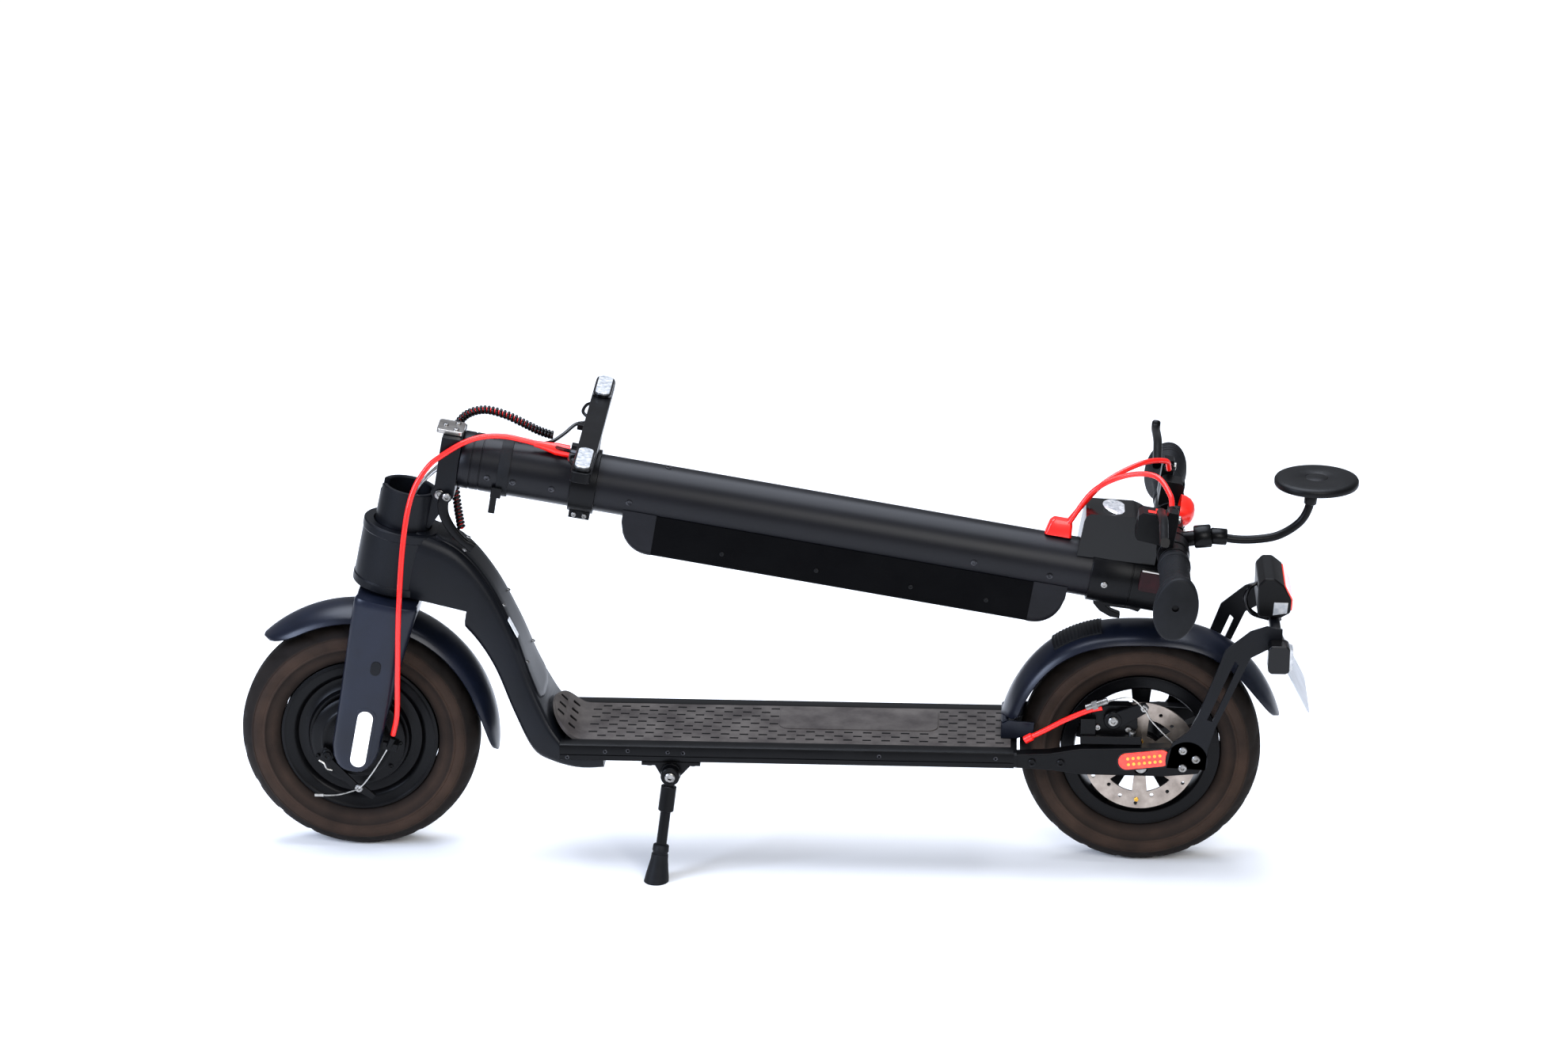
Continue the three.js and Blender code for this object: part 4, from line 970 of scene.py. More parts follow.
@dataclass
class FrontEnd:
    """Fork, collar, front mudguard, drum brake and the front brake cable."""

    def build(self) -> None:
        """Makes every piece that turns with the steering."""
        self.fork()
        self.collar()
        tilt = math.degrees(STEER_TILT)
        piece("front_mudguard", mudguard(lambda a: 148.0, -6.6 + tilt, 132.6 + tilt, (0.2, 0.12)),
              SATIN_FORK, STEER, "steering", ["front_fender"])
        self.drum()
        self.cable()

    def leg(self, side: Side) -> list[list[Point]]:
        """Gives one fork leg's rings.

        Args:
            side: the leg's side.

        Returns:
            Its rings, from the foot up.
        """
        stations = [(-25.2, 7, 0, 8), (-24, 12, 0, 9.5), (-20, 17, 0, 10.6), (-12, 22, 0, 11.2),
                    (0, 25, 0, 11.5), (20, 25.6, 0, 11.5), (60, 27.6, 0.5, 11.5),
                    (110, 30.4, 0.8, 11.6), (145, 32.6, 1.6, 11.9), (160, 33.6, 2.2, 11.9),
                    (166, 33.7, 2.2, 11.8), (168.6, 32.6, 2.2, 10.8)]
        rings = []
        for s, half, mid, deep in stations:
            ring = []
            for k in range(36):
                t = 2 * math.pi * k / 36
                c, w = math.cos(t), math.sin(t)
                power = 0.55
                x = mid + half * math.copysign(abs(c) ** power, c)
                y = deep * math.copysign(abs(w) ** 0.8, w)
                ring.append((x, side.value * (49.5 + y), s))
            rings.append(ring)
        return rings

    def fork(self) -> None:
        """Makes the fork, its reflectors, plugs and axle ends."""
        shape = Shape()
        for side in Side:
            shape.loft(self.leg(side))
        crown = []
        for s, grow in ((150.6, 0.96), (153, 1.0), (164, 1.0), (167.6, 0.97)):
            crown.append([(2.2 + 33.2 * grow * math.copysign(abs(math.cos(t)) ** 0.5, math.cos(t)),
                           56 * math.copysign(abs(math.sin(t)) ** 0.3, math.sin(t)), s)
                          for t in (2 * math.pi * k / 40 for k in range(40))])
        shape.loft(crown)
        shape.rod((0, 0, 166), (0, 0, 245), 17)
        piece("fork_skin", shape, SATIN_FORK, STEER, "steering", ["fork"], angle=50)
        for side in Side:
            y = side.value
            rim = Shape().prism([(-x, z) for x, z in rounded(-11.5, 11.5, -36, 36, 11.4, 10)],
                                *sorted((y * 60.2, y * 61.2)))
            lens = Shape().prism(rounded(-8.2, 8.2, -32, 32, 8.1, 10), *sorted((y * 60.9, y * 62.4)))
            plug = Shape().prism(rounded(-5.3, 5.3, -8, 8, 5.2, 8), *sorted((y * 60.4, y * 61.9)))
            low = STEER @ Matrix.Translation((5, 0, 15)) @ Matrix.Rotation(math.radians(-1), 4, "Y")
            tag = side.name.lower()
            piece(f"fork_reflector_rim_{tag}", rim, SATIN_FORK, low, "steering", bevel=0.5)
            piece(f"fork_reflector_{tag}", lens, WHITE_LENS_PAINTED_GLOW, low, "steering", bevel=0.6)
            high = STEER @ Matrix.Translation((5, 0, 97))
            piece(f"fork_plug_{tag}", plug, RUBBER, high, "steering", bevel=0.5)

    def collar(self) -> None:
        """Makes the open collar with its tongue, and the wires that leave it."""
        shape = Shape().turn([(24, 257), (24, 282), (25, 283.3), (28.6, 283.3), (29.5, 282.2),
                              (29.5, 239), (17.6, 238), (17.6, 246), (18, 257)], 96, axis="Z")
        shape.turn([(0.4, 254), (23.8, 254), (23.8, 257.5), (0.4, 257.5)], 48, axis="Z")
        tongue = [(23, 246), (29, 246), (39, 270), (43.4, 285.5), (43.6, 293), (38.6, 299.3),
                  (29, 298.4), (24.5, 286)]
        for y in (-14, 6):
            shape.prism(tongue, y, y + 8)
        shape.prism([(23, 246), (29, 246), (36, 266), (30, 270), (24, 262)], -14, 14)
        cuts = Shape().box(-40, -14, -9, 9, 273, 300)
        piece("collar_skin", shape, SATIN, STEER, "steering", ["fork_collar"], bevel=0.6, cuts=cuts)
        wires = Shape()
        for k in range(9):
            y = -8 + 2 * k
            lean = 0.6 * math.sin(k * 2.1)
            wires.pipe([(4 + lean, y * 0.6, 258), (10 + lean, y * 0.7, 285), (20, y * 0.9, 303),
                        (31 + lean, y, 317), (38, y, 328)], 1.3, 20, 8)
        piece("collar_wires", wires, WIRE, STEER, "steering", ride=False)
        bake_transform(bpy.data.objects["collar_wires"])
        ends = Shape()
        bolt(ends, (PIN_OFFSET, -27.9, PIN_HEIGHT), (0, -1, 0), 5.2, 1.8)
        bolt(ends, (PIN_OFFSET, 27.9, PIN_HEIGHT), (0, 1, 0), 5.2, 1.8)
        ends.rod((PIN_OFFSET, -28, PIN_HEIGHT), (PIN_OFFSET, 28, PIN_HEIGHT), 4)
        piece("hinge_pin_skin", ends, BOLT, STEER, "steering", ["hinge_pin"])
        race = Shape().turn([(17.5, 216.2), (22.2, 216.2), (22.5, 216.6), (22.5, 221.6), (21.8, 222.2),
                             (21.8, 223.8), (22.5, 224.4), (22.5, 229.4), (22.2, 229.8),
                             (17.5, 229.8)], 64, axis="Z")
        piece("headset_race", race, STEEL, STEER, "steering", ["headset_bearing"])

    def drum(self) -> None:
        """Makes the drum plate, its screws, the brake lever and the cable stop."""
        shape = Shape().turn([(6.5, -37.4), (24, -37.4), (26, -35.6), (33, -35), (35, -36), (38, -36),
                              (40, -34.4), (46, -34), (50, -31.5), (50, -28), (6.5, -28)], 96)
        for s, v in ((40, 8), (-26, -39), (38, -24), (-20, 40), (8, 45)):
            bolt(shape, (v, -34.2, s), (0, -1, 0), 2.4, 1.6)
        piece("drum_plate_skin", shape, BLACK_ALLOY, STEER, "steering", ["drum_plate"], bevel=0.3)
        lever = Shape().prism([(-35, -14), (-32, -10), (-28, -12), (-23, -22), (10, -45), (16.4, -45),
                               (30.4, -52.7), (27.4, -57.7), (6.4, -51.7), (-33, -23.5)], -44, -41)
        lever.turn([(0.4, -46), (5.6, -46), (7, -44.6), (7, -37.6), (0.4, -37.6)], 24, (-28, -18.5))
        bolt(lever, (-28, -46, -18.5), (0, -1, 0), 4.6, 2.4)
        piece("drum_lever_skin", lever, BLACK_ALLOY, STEER, "drum_lever", ["drum_arm"], bevel=0.5)
        clamp = Shape()
        bolt(clamp, (11.4, -43.9, -47.7), (0, -1, 0), 4.4, 3.6)
        piece("drum_clamp_screw", clamp, BOLT, STEER, "drum_lever")
        spring = Shape().pipe([(-20, -45, -34), (-26, -46, -33), (-30, -46, -28), (-36, -45, -26)],
                              1.0, 20, 8)
        piece("drum_spring", spring, WIRE, STEER, "drum_lever")
        stop = Shape().box(27, 43, -52, -46, 5, 13).box(34, 43, -46, -34, 4, 12)
        stop.rod((34, -50, 8), (36.5, -51, 20), 3.6, steps=16, chamfer=0.6)
        piece("front_cable_stop", stop, BLACK_ALLOY, STEER, "steering", bevel=0.5)
        wire = Shape().pipe([(35, -50, 12), (26, -49, -16), (17, -48.4, -38), (11.4, -48, -47)], 0.8,
                            20, 8)
        wire.pipe([(11, -48, -48), (-6, -47.6, -58), (-18, -48, -62), (-29, -48, -64)], 0.8, 16, 8)
        wire.pipe([(-24, -48, -63.2), (-33, -48, -65)], 1.7, 4, 10)
        piece("front_inner_wire", wire, WIRE, STEER, "steering")

    def cable(self) -> None:
        """Makes the red front brake cable, drawn bent where it passes the fold."""
        points = [(-214, -14, 455.6), (-232, -17, 461.5), (-253, -20, 466.6), (-275, -24, 467),
                  (-294, -29, 462), (-314, -34, 451), (-331, -38, 438), (-347, -46, 411),
                  (-356, -56, 366), (-362, -66, 290), (-365, -68, 215), (-368, -60, 168),
                  (-374, -50, 142)]
        jacket = Shape().pipe(points, 2.8, 120, 16)
        made = piece("front_cable_jacket", jacket, RED_CABLE, BODY, "steering",
                     ["front_brake_cable"], ride=False)
        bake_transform(made)


@dataclass
class Deck:
    """Neck, deck tray, mat, side rails' screws and the side stand."""

    half_width: float = 69.0
    top: float = 142.0

    def build(self) -> None:
        """Makes the deck's pieces."""
        self.neck()
        self.tray()
        self.mat()
        self.stand()

    def neck(self) -> None:
        """Makes the swept neck with its head tube and lid."""
        stations = [(-150, 136.6, -150, 112, 66), (-168, 134, -166, 111, 66),
                    (-186, 134, -178, 112, 66), (-203, 152, -204, 114, 59),
                    (-217, 178, -226, 124, 53), (-229, 205, -247, 164, 47),
                    (-246, 251, -270, 217, 40), (-272, 304, -299, 256, 35),
                    (-304, 342, -330, 274, 34), (-346, 362, -362, 281, 34)]
        count = 54
        tops = smooth([(x, w, z) for x, z, _, _, w in stations], count)
        lows = smooth([(x, w, z) for _, _, x, z, w in stations], count)
        rings = []
        for a, b in zip(tops, lows):
            w = a.y
            flat = min(w - 8, 46)
            half = [(0.0, flat), (0.015, w - 6.2), (0.06, w - 2.6), (0.14, w - 0.8), (0.24, w),
                    (0.5, w + 0.4), (0.74, w), (0.86, 0.965 * w), (0.94, 0.88 * w), (1.0, 0.66 * w)]
            ring = []
            for t, y in half:
                ring.append((a.x + (b.x - a.x) * t, -y, a.z + (b.z - a.z) * t))
            for t, y in reversed(half):
                ring.append((a.x + (b.x - a.x) * t, y, a.z + (b.z - a.z) * t))
            rings.append(ring)
        body = Shape().loft(rings)
        cuts = Shape().rod(on_axis(171), on_axis(100), 92, steps=48)
        cuts.rod(on_axis(166), on_axis(330), 30.6, steps=64)
        piece("neck_skin", body, SATIN, BODY, "frame", ["neck_frame"], angle=38, cuts=cuts)
        head = Shape().turn([(24, 174), (24, 235), (31, 236), (31, 242), (39.6, 242), (41, 240.6),
                             (41, 233), (40.2, 232), (40.2, 181), (41, 180), (41, 172.4),
                             (39.6, 171), (26, 171)], 96, axis="Z")
        piece("head_tube", head, SATIN, STEER, "frame", bevel=0.3)
        lid = []
        first, last = 19, 52
        for i in range(first, last):
            a, b = tops[i], lows[i]
            w = min(a.y - 8, 46) - 0.6
            out = Vector((a.x - b.x, 0, a.z - b.z)).normalized()
            tip = min(1.0, (i - first + 0.35) / 3.2, (last - i) / 2.0)
            w *= math.sqrt(max(0.05, 1 - (1 - tip) ** 2))
            ring = []
            for u, lift in ((-1, 0.1), (-0.97, 1.9), (-0.9, 2.6), (-0.5, 2.9), (0, 3.0), (0.5, 2.9),
                            (0.9, 2.6), (0.97, 1.9), (1, 0.1)):
                ring.append(tuple(Vector((a.x, u * w, a.z)) + out * (lift + 0.2)))
            lid.append(ring)
        piece("neck_lid", Shape().loft(lid), SATIN, BODY, "frame", ["neck_cover"], angle=50)
        screws = Shape()
        for i in (27, 36, 46):
            for side in (-1, 1):
                a, b = tops[i], lows[i]
                out = Vector((a.x - b.x, 0, a.z - b.z)).normalized()
                at = Vector((a.x, side * (min(a.y - 8, 46) - 6), a.z)) + out * 2.6
                bolt(screws, tuple(at), tuple(out), 2.8, 1.2)
        piece("lid_screws", screws, BOLT, BODY, "frame")
        label = Shape().prism(rounded(-5.5, 5.5, -11, 11, 1.5), 3.0, 3.7, "X")
        place = (BODY @ Matrix.Translation((-249.5, -29, 256.5)) @
                 Matrix.Rotation(math.radians(-26.1), 4, "Y"))
        piece("neck_label", label, LABEL, place, "frame")

    def tray(self) -> None:
        """Makes the extruded tray, its grooved side rails, cover and end caps."""
        w = self.half_width
        section = [(-w + 2.5, 124), (-w + 0.6, 125), (-w, 127), (-w, 130.4), (-w + 1, 130.8),
                   (-w + 1, 131.4), (-w, 131.8), (-w, 139.5), (-w + 0.7, 141.2), (-w + 2.5, 142),
                   (-52.2, 142), (-52.2, 139), (52.2, 139), (52.2, 142), (w - 2.5, 142),
                   (w - 0.7, 141.2), (w, 139.5), (w, 131.8), (w - 1, 131.4), (w - 1, 130.8),
                   (w, 130.4), (w, 127), (w - 0.6, 125), (w - 2.5, 124), (60, 124), (60, 136),
                   (-60, 136), (-60, 124)]
        shape = Shape().prism(section, -196, 281, "X")
        piece("deck_rails", shape, BLACK_ALLOY, BODY, "frame", ["deck_tray"], angle=30)
        end = Shape().prism([(-66, 124.8), (66, 124.8), (68.4, 127), (68.4, 139.4), (66, 141.4),
                             (-66, 141.4), (-68.4, 139.4), (-68.4, 127)], 277.6, 284, "X")
        piece("deck_end_plate", end, BLACK_ALLOY, BODY, "frame")
        cover = Shape().prism(rounded(-186, 277.5, -58.5, 58.5, 8), 122.6, 127.4, "Z")
        for x in range(-150, 251, 50):
            cover.box(x - 16, x + 16, -50, 50, 121.2, 123)
        piece("deck_under_cover", cover, PLASTIC, BODY, "frame", ["deck_bottom_cover"], bevel=0.5)
        box = Shape().box(-172, 265, -52, 52, 128.6, 135)
        piece("controller_skin", box, ALLOY_CASE, BODY, "frame", ["controller_box"], bevel=0.8)
        screws = Shape()
        for x, z in ((-148, 135), (-124, 136.5), (-82, 135.5), (-66, 135), (-188, 128), (140, 135.5),
                     (262, 135.5)):
            bolt(screws, (x, -w + 0.4, z), (0, -1, 0), 2.3, 1.0)
            bolt(screws, (x, w - 0.4, z), (0, 1, 0), 2.3, 1.0)
        piece("rail_screws", screws, SCREW, BODY, "frame")

    def mat(self) -> None:
        """Makes the worn rubber mat with its rows of short raised dashes."""
        path = [(277.4, 142.2), (-168, 142.2), (-176, 142.6), (-181.5, 144.6), (-189.5, 150.6),
                (-199, 160.1), (-206, 166.6)]
        spine = [(x, 0.0, z) for x, z in path]
        low = [(277.4, 139.5), (-168, 139.5), (-177, 139.5), (-184, 141.8), (-192, 148.6),
               (-201.5, 158.4), (-208.2, 165.6)]
        rows = []
        steps = 26
        tops = [Vector(spine[0])] + smooth(spine[1:], steps)
        lows = [Vector((low[0][0], 0, low[0][1]))] + smooth([(x, 0, z) for x, z in low[1:]], steps)
        length = [0.0]
        for a, b in zip(tops, tops[1:]):
            length.append(length[-1] + (b - a).length)
        total = length[-1]
        for a, b, d in zip(tops, lows, length):
            left = (total - d) / 30.0
            w = 51.6 * math.sqrt(max(0.02, 1 - max(0.0, 1 - left) ** 2.4))
            rows.append([(b.x, -w, b.z), (a.x, -w, a.z - 0.7), (a.x, -w + 0.9, a.z), (a.x, w - 0.9, a.z),
                         (a.x, w, a.z - 0.7), (b.x, w, b.z)])
        piece("mat_sheet", Shape().loft(rows), MAT, BODY, "frame", ["deck_mat"], angle=45)
        dashes = Shape()
        for row in range(-4, 5):
            y = row * 10.4
            x = 266.0 - (10 if row % 2 else 0)
            while x > -166:
                patch = 26 < x < 206 and -19 < y < 51
                if not patch:
                    dashes.box(x - 4.6, x + 4.6, y - 1.5, y + 1.5, 142.0, 142.5)
                x -= 20
        # the dashes carry painted shade: their near-black stands in for shadow in sunk grooves
        piece("mat_dashes", dashes, MAT_DASH_PAINTED_SHADE, BODY, "frame", bevel=0.35)
        ribs = Shape()
        for row in range(-4, 5):
            y = row * 10.4
            for k, (x, z) in enumerate(((-186.5, 148.7), (-198.5, 160.0))):
                if (row + k) % 2 and abs(y) < (46, 34)[k]:
                    way = Vector((-0.72, 0, 0.7))
                    up = Vector((0.7, 0, 0.72))
                    mid = Vector((x, y, z))
                    ends = [mid - way * 4.4, mid + way * 4.4]
                    ring = [[tuple(e + up * h + Vector((0, s, 0))) for s, h in
                             ((-1.5, -0.5), (1.5, -0.5), (1.5, 0.7), (-1.5, 0.7))] for e in ends]
                    ribs.loft(ring)
        # the nose dashes carry the same painted shade
        piece("mat_nose_dashes", ribs, MAT_DASH_PAINTED_SHADE, BODY, "frame", bevel=0.3)
        patch = Shape().prism(rounded(32, 200, -14, 46, 12, 8), 142.0, 143.3, "Z")
        piece("mat_patch", patch, MAT, BODY, "frame", bevel=0.3)

    def stand(self) -> None:
        """Makes the side stand, its bracket and its flared rubber foot."""
        top, foot = Vector((-79, -76, 112)), Vector((-93, -95, 0))
        way = (foot - top).normalized()
        length = (foot - top).length

        def at(along: float) -> Point:
            """Gives the point that lies this far down the leg."""
            return tuple(top + way * along)

        bracket = Shape().box(-110, -48, -67, -38, 119.6, 123.6)
        bracket.turn([(4.4, -70), (10.4, -70), (11, -69.2), (11, -54.4), (10.4, -54), (4.4, -54)], 48,
                     (-79, 112))
        bracket.prism([(-96, 120), (-90, 109), (-68, 109), (-58, 120)], -67, -63)
        piece("stand_bracket_skin", bracket, BLACK_ALLOY, BODY, "frame", ["stand_bracket"], bevel=0.5)
        bolts = Shape()
        for x in (-102, -56):
            for y in (-60, -45):
                bolt(bolts, (x, y, 119.7), (0, 0, -1), 3.6, 2.4)
        piece("stand_bolts", bolts, BOLT, BODY, "frame")
        leg = Shape().rod(at(2), at(length - 24), 5.5, steps=32)
        leg.rod(at(10.5), at(38), 8.3, steps=36, chamfer=0.8)
        leg.turn([(0.4, -80.6), (8.8, -80.6), (10, -79.4), (10, -70.4), (0.4, -70.4)], 48, (-79, 112))
        leg.rod((-79, -76, 112), (-79, -56, 112), 3.9)
        piece("stand_leg_skin", leg, BLACK_ALLOY, BODY, "stand", ["stand_leg"], bevel=0.2)
        heads = Shape()
        bolt(heads, (-79, -80.5, 112), (0, -1, 0), 5.4, 2.8)
        piece("stand_pivot_bolt", heads, BOLT, BODY, "stand")
        rings = []
        side = way.orthogonal().normalized()
        over = way.cross(side)
        for d, r in ((-40, 7.2), (-39, 8.4), (-33, 8.7), (-32.4, 8.0), (-30, 8.0), (-29.4, 8.9),
                     (-24, 9.2), (-12, 11.2), (-6, 12.3), (-1, 12.9), (4.2, 13.0)):
            ring = []
            for k in range(36):
                t = 2 * math.pi * k / 36
                p = top + way * (length + d) + (side * math.cos(t) + over * math.sin(t)) * r
                ring.append((p.x, p.y, max(0.05, p.z)))
            rings.append(ring)
        piece("stand_foot_skin", Shape().loft(rings), RUBBER, BODY, "stand", ["stand_foot"], angle=50)


@dataclass
class RearEnd:
    """Dropouts, rear mudguard, plate arms, lamps, plate and the rear brake."""

    plate_lean: float = math.radians(27.5)

    def build(self) -> None:
        """Makes everything behind the deck."""
        self.dropouts()
        guard = mudguard(lambda a: 151 - 11.5 * abs(math.sin(a)) ** 8, 15, 167, (0.16, 0.04))
        piece("rear_mudguard", guard, SATIN_FORK, REAR_HUB, "frame", ["rear_fender"])
        self.pad()
        foot = Shape().prism([(266.6, 142.5), (283.6, 142.5), (283.6, 149), (281.4, 157), (272, 164),
                              (267.4, 161)], -27, 27)
        piece("mudguard_foot", foot, SATIN_FORK, BODY, "frame", bevel=1.0)
        skirts = Shape()
        for side in Side:
            skirts.prism([(267, 143), (284, 143), (301, 150), (302, 161), (276, 163), (268, 159)],
                         *sorted((side.value * 27.6, side.value * 30.6)))
        piece("mudguard_skirts", skirts, SATIN_FORK, BODY, "frame", bevel=0.6)
        self.arms()
        self.lamps()
        self.caliper()

    def dropouts(self) -> None:
        """Makes the axle plates and their reflectors."""
        outline = [(281.4, 124), (320, 122), (352, 118), (440, 117.5), (474, 121), (478, 130),
                   (477.4, 141), (474, 146.4), (468, 149), (440, 150), (350, 147), (318, 141),
                   (281.4, 139)]
        for side in Side:
            tag = side.name.lower()
            lo, hi = sorted((side.value * 50, side.value * 66))
            cuts = Shape().prism(arc(414, 127, 7, 0, 345, 23), lo - 4, hi + 4)
            piece(f"dropout_{tag}_skin", Shape().prism(outline, lo, hi), BLACK_ALLOY, BODY, "frame",
                  [f"dropout_{tag}"], bevel=1.6, cuts=cuts)
            face = side.value * 66.0
            lens = Shape().prism(rounded(-27, 27, -9.2, 9.2, 8.8, 10), *sorted((face, face
                                                                              + side.value * 1.4)))
            rim = Shape().prism(rounded(-28.6, 28.6, -10.6, 10.6, 10, 10),
                                *sorted((face - side.value * 0.4, face + side.value * 0.7)))
            dots = Shape()
            for k in range(-3, 4):
                for v in (-3.2, 3.2):
                    dots.turn([(0.2, min(face, face + side.value * 1.9)), (1.7, min(face, face
                              + side.value * 1.9)), (1.7, max(face, face + side.value * 1.9)),
                              (0.2, max(face, face + side.value * 1.9))], 10, (k * 5.6, v))
            place = (BODY @ Matrix.Translation((417, 0, 136.6)) @
                     Matrix.Rotation(math.radians(-7), 4, "Y"))
            piece(f"reflector_rim_{tag}", rim, GLOSS_PLASTIC, place, "frame", bevel=0.3)
            # the red reflector takes a painted glow from its emitting finish
            piece(f"reflector_{tag}", lens, RED_LENS_PAINTED_GLOW, place, "frame", bevel=0.6)
            piece(f"reflector_facets_{tag}", dots, AMBER_PAINTED_GLOW, place, "frame")
        nuts = Shape()
        for side in Side:
            y = side.value
            nuts.rod((414, y * 28, 127), (414, y * 49.6, 127), 9, steps=32)
        nuts.rod((414, -66, 127), (414, 66, 127), 5.9, steps=32)
        piece("rear_axle_skin", nuts, BOLT, BODY, "frame", ["rear_axle"], bevel=0.3)
        bolts = Shape()
        for x, z in ((300, 131), (330, 131)):
            bolt(bolts, (x, -65.8, z), (0, -1, 0), 4.2, 2.6)
            bolt(bolts, (x, 65.8, z), (0, 1, 0), 4.2, 2.6)
        piece("dropout_bolts", bolts, BLACK_ALLOY, BODY, "frame")

    def pad(self) -> None:
        """Makes the ribbed foot pad on the mudguard's crown."""
        pad = Shape()
        rows = []
        for i in range(43):
            t = i / 42
            a = math.radians(129 - 21 * t)
            rib = 1.1 * (0.5 + 0.5 * math.cos(2 * math.pi * t * 14))
            crown = 151 - 11.5 * abs(math.sin(a)) ** 8
            ring = []
            for u in (-1, -0.6, -0.2, 0.2, 0.6, 1):
                y = u * 21
                r = crown - 11 * (y / 34) ** 2
                ring.append(((r + 1.2 + rib) * math.cos(a), y, (r + 1.2 + rib) * math.sin(a)))
            for u in (1, 0.6, 0.2, -0.2, -0.6, -1):
                y = u * 21
                r = crown - 11 * (y / 34) ** 2
                ring.append(((r + 0.1) * math.cos(a), y, (r + 0.1) * math.sin(a)))
            rows.append(ring)
        pad.loft(rows)
        piece("fender_pad", pad, RUBBER, REAR_HUB, "frame", angle=60)

    def arms(self) -> None:
        """Makes the plate arms, their crossbar, bolts and the number plate."""
        pad = arc(461, 137, 22, 200, -26, 22)
        outline = pad + [(483, 152), (490, 175), (524, 254), (556, 272), (556, 286), (540, 289),
                         (523, 283), (498, 262), (472, 190), (462, 170), (446, 157)]
        for side in Side:
            lo, hi = sorted((side.value * 66.4, side.value * 69.9))
            cuts = Shape().prism([(481, 184), (486.5, 182), (512, 246), (508, 250)], lo - 3, hi + 3)
            shape_one = Shape().prism(outline, lo, hi)
            tag = side.name.lower()
            made = piece(f"plate_arm_{tag}", shape_one, SATIN, BODY, "frame",
                         bevel=0.5, cuts=cuts)
            if side is Side.LEFT:
                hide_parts("lamp_bracket")
        bar = Shape().prism(rounded(544, 555, 273.5, 284.5, 2.5, 4), -66.6, 66.6)
        bar.box(545, 552, -24, 24, 283, 288)
        piece("plate_crossbar", bar, SATIN, BODY, "frame")
        bolts = Shape()
        for x, z in ((457, 149.4), (470.7, 139.9), (457, 129.8)):
            bolt(bolts, (x, -69.7, z), (0, -1, 0), 4.4, 3.2)
            bolt(bolts, (x, 69.7, z), (0, 1, 0), 4.4, 3.2)
        piece("plate_arm_bolts", bolts, BOLT, BODY, "frame")
        plate = Shape().prism(rounded(-53, 53, -41, 41, 7, 8), -0.75, 0.75, "X")
        place = BODY @ Matrix.Translation((569, 0, 222)) @ Matrix.Rotation(-self.plate_lean, 4, "Y")
        piece("blank_plate_skin", plate, BLANK_PLATE, place, "frame", ["number_plate"], bevel=0.3)
        hooks = Shape()
        for y in (-30, 30):
            hooks.rod((549, y, 274), (557, y, 258), 4.2, steps=20)
            bolt(hooks, (553.5, y, 252.5), (0.86, 0, -0.5), 4.0, 2.4)
        piece("plate_hangers", hooks, BOLT, BODY, "frame")

    def lamps(self) -> None:
        """Makes the tail lamp and both indicators."""
        body = [(531, 290), (535, 286.5), (556, 286.5), (565.4, 292), (566, 306), (558, 322),
                (548, 330), (538, 330), (531, 322)]
        piece("tail_lamp_body", Shape().prism(body, -37.6, 37.6), PLASTIC, BODY, "frame",
              ["tail_light"], bevel=2.2)
        glass = Shape().prism([(563.6, 293.4), (567, 293.8), (567.6, 305.6), (559.4, 321.4), (556.4, 320)],
                              -34, 34)
        piece("tail_lamp_lens", glass, RED_LENS_PAINTED_GLOW, BODY, "frame", bevel=0.8)
        window = Shape().prism([(547, 290), (561.6, 292.4), (562.6, 304), (548, 304)], -38.4, -37.4)
        window.prism([(547, 290), (561.6, 292.4), (562.6, 304), (548, 304)], 37.4, 38.4)
        piece("tail_lamp_window", window, LENS, BODY, "frame", bevel=0.2)
        wires = Shape().pipe([(534, -12, 318), (524, -14, 312), (520, -14, 298), (526, -16, 284),
                              (544, -20, 279)], 2.0, 30, 8)
        wires.pipe([(534, -4, 314), (522, -6, 306), (519, -8, 294), (530, -12, 282), (544, -16, 280)],
                   1.6, 30, 8)
        piece("tail_lamp_wires", wires, GLOSS_PLASTIC, BODY, "frame")
        for side in Side:
            y = side.value
            tag = side.name.lower()
            lo, hi = sorted((y * 70.4, y * 92.2))
            case = [(541, 248), (544, 245), (559, 245), (563, 247), (563, 273), (560, 276), (544, 276),
                    (541, 273)]
            piece(f"indicator_case_{tag}", Shape().prism(case, lo, hi), GLOSS_PLASTIC, BODY, "frame",
                  [f"indicator_{tag}"], bevel=1.5)
            lens = Shape().prism([(562.4, 247.6), (566.8, 250), (566.8, 271), (562.4, 272.6)],
                                 lo + 1.2, hi - 1.2)
            piece(f"indicator_lens_{tag}", lens, LENS, BODY, "frame", bevel=1.2)
            # the indicator bulb takes a painted glow from its emitting amber finish
            bulb = Shape().box(557.5, 562.6, lo + 3.5, hi - 3.5, 251, 270)
            piece(f"indicator_glow_{tag}", bulb, AMBER_PAINTED_GLOW, BODY, "frame", bevel=0.5)

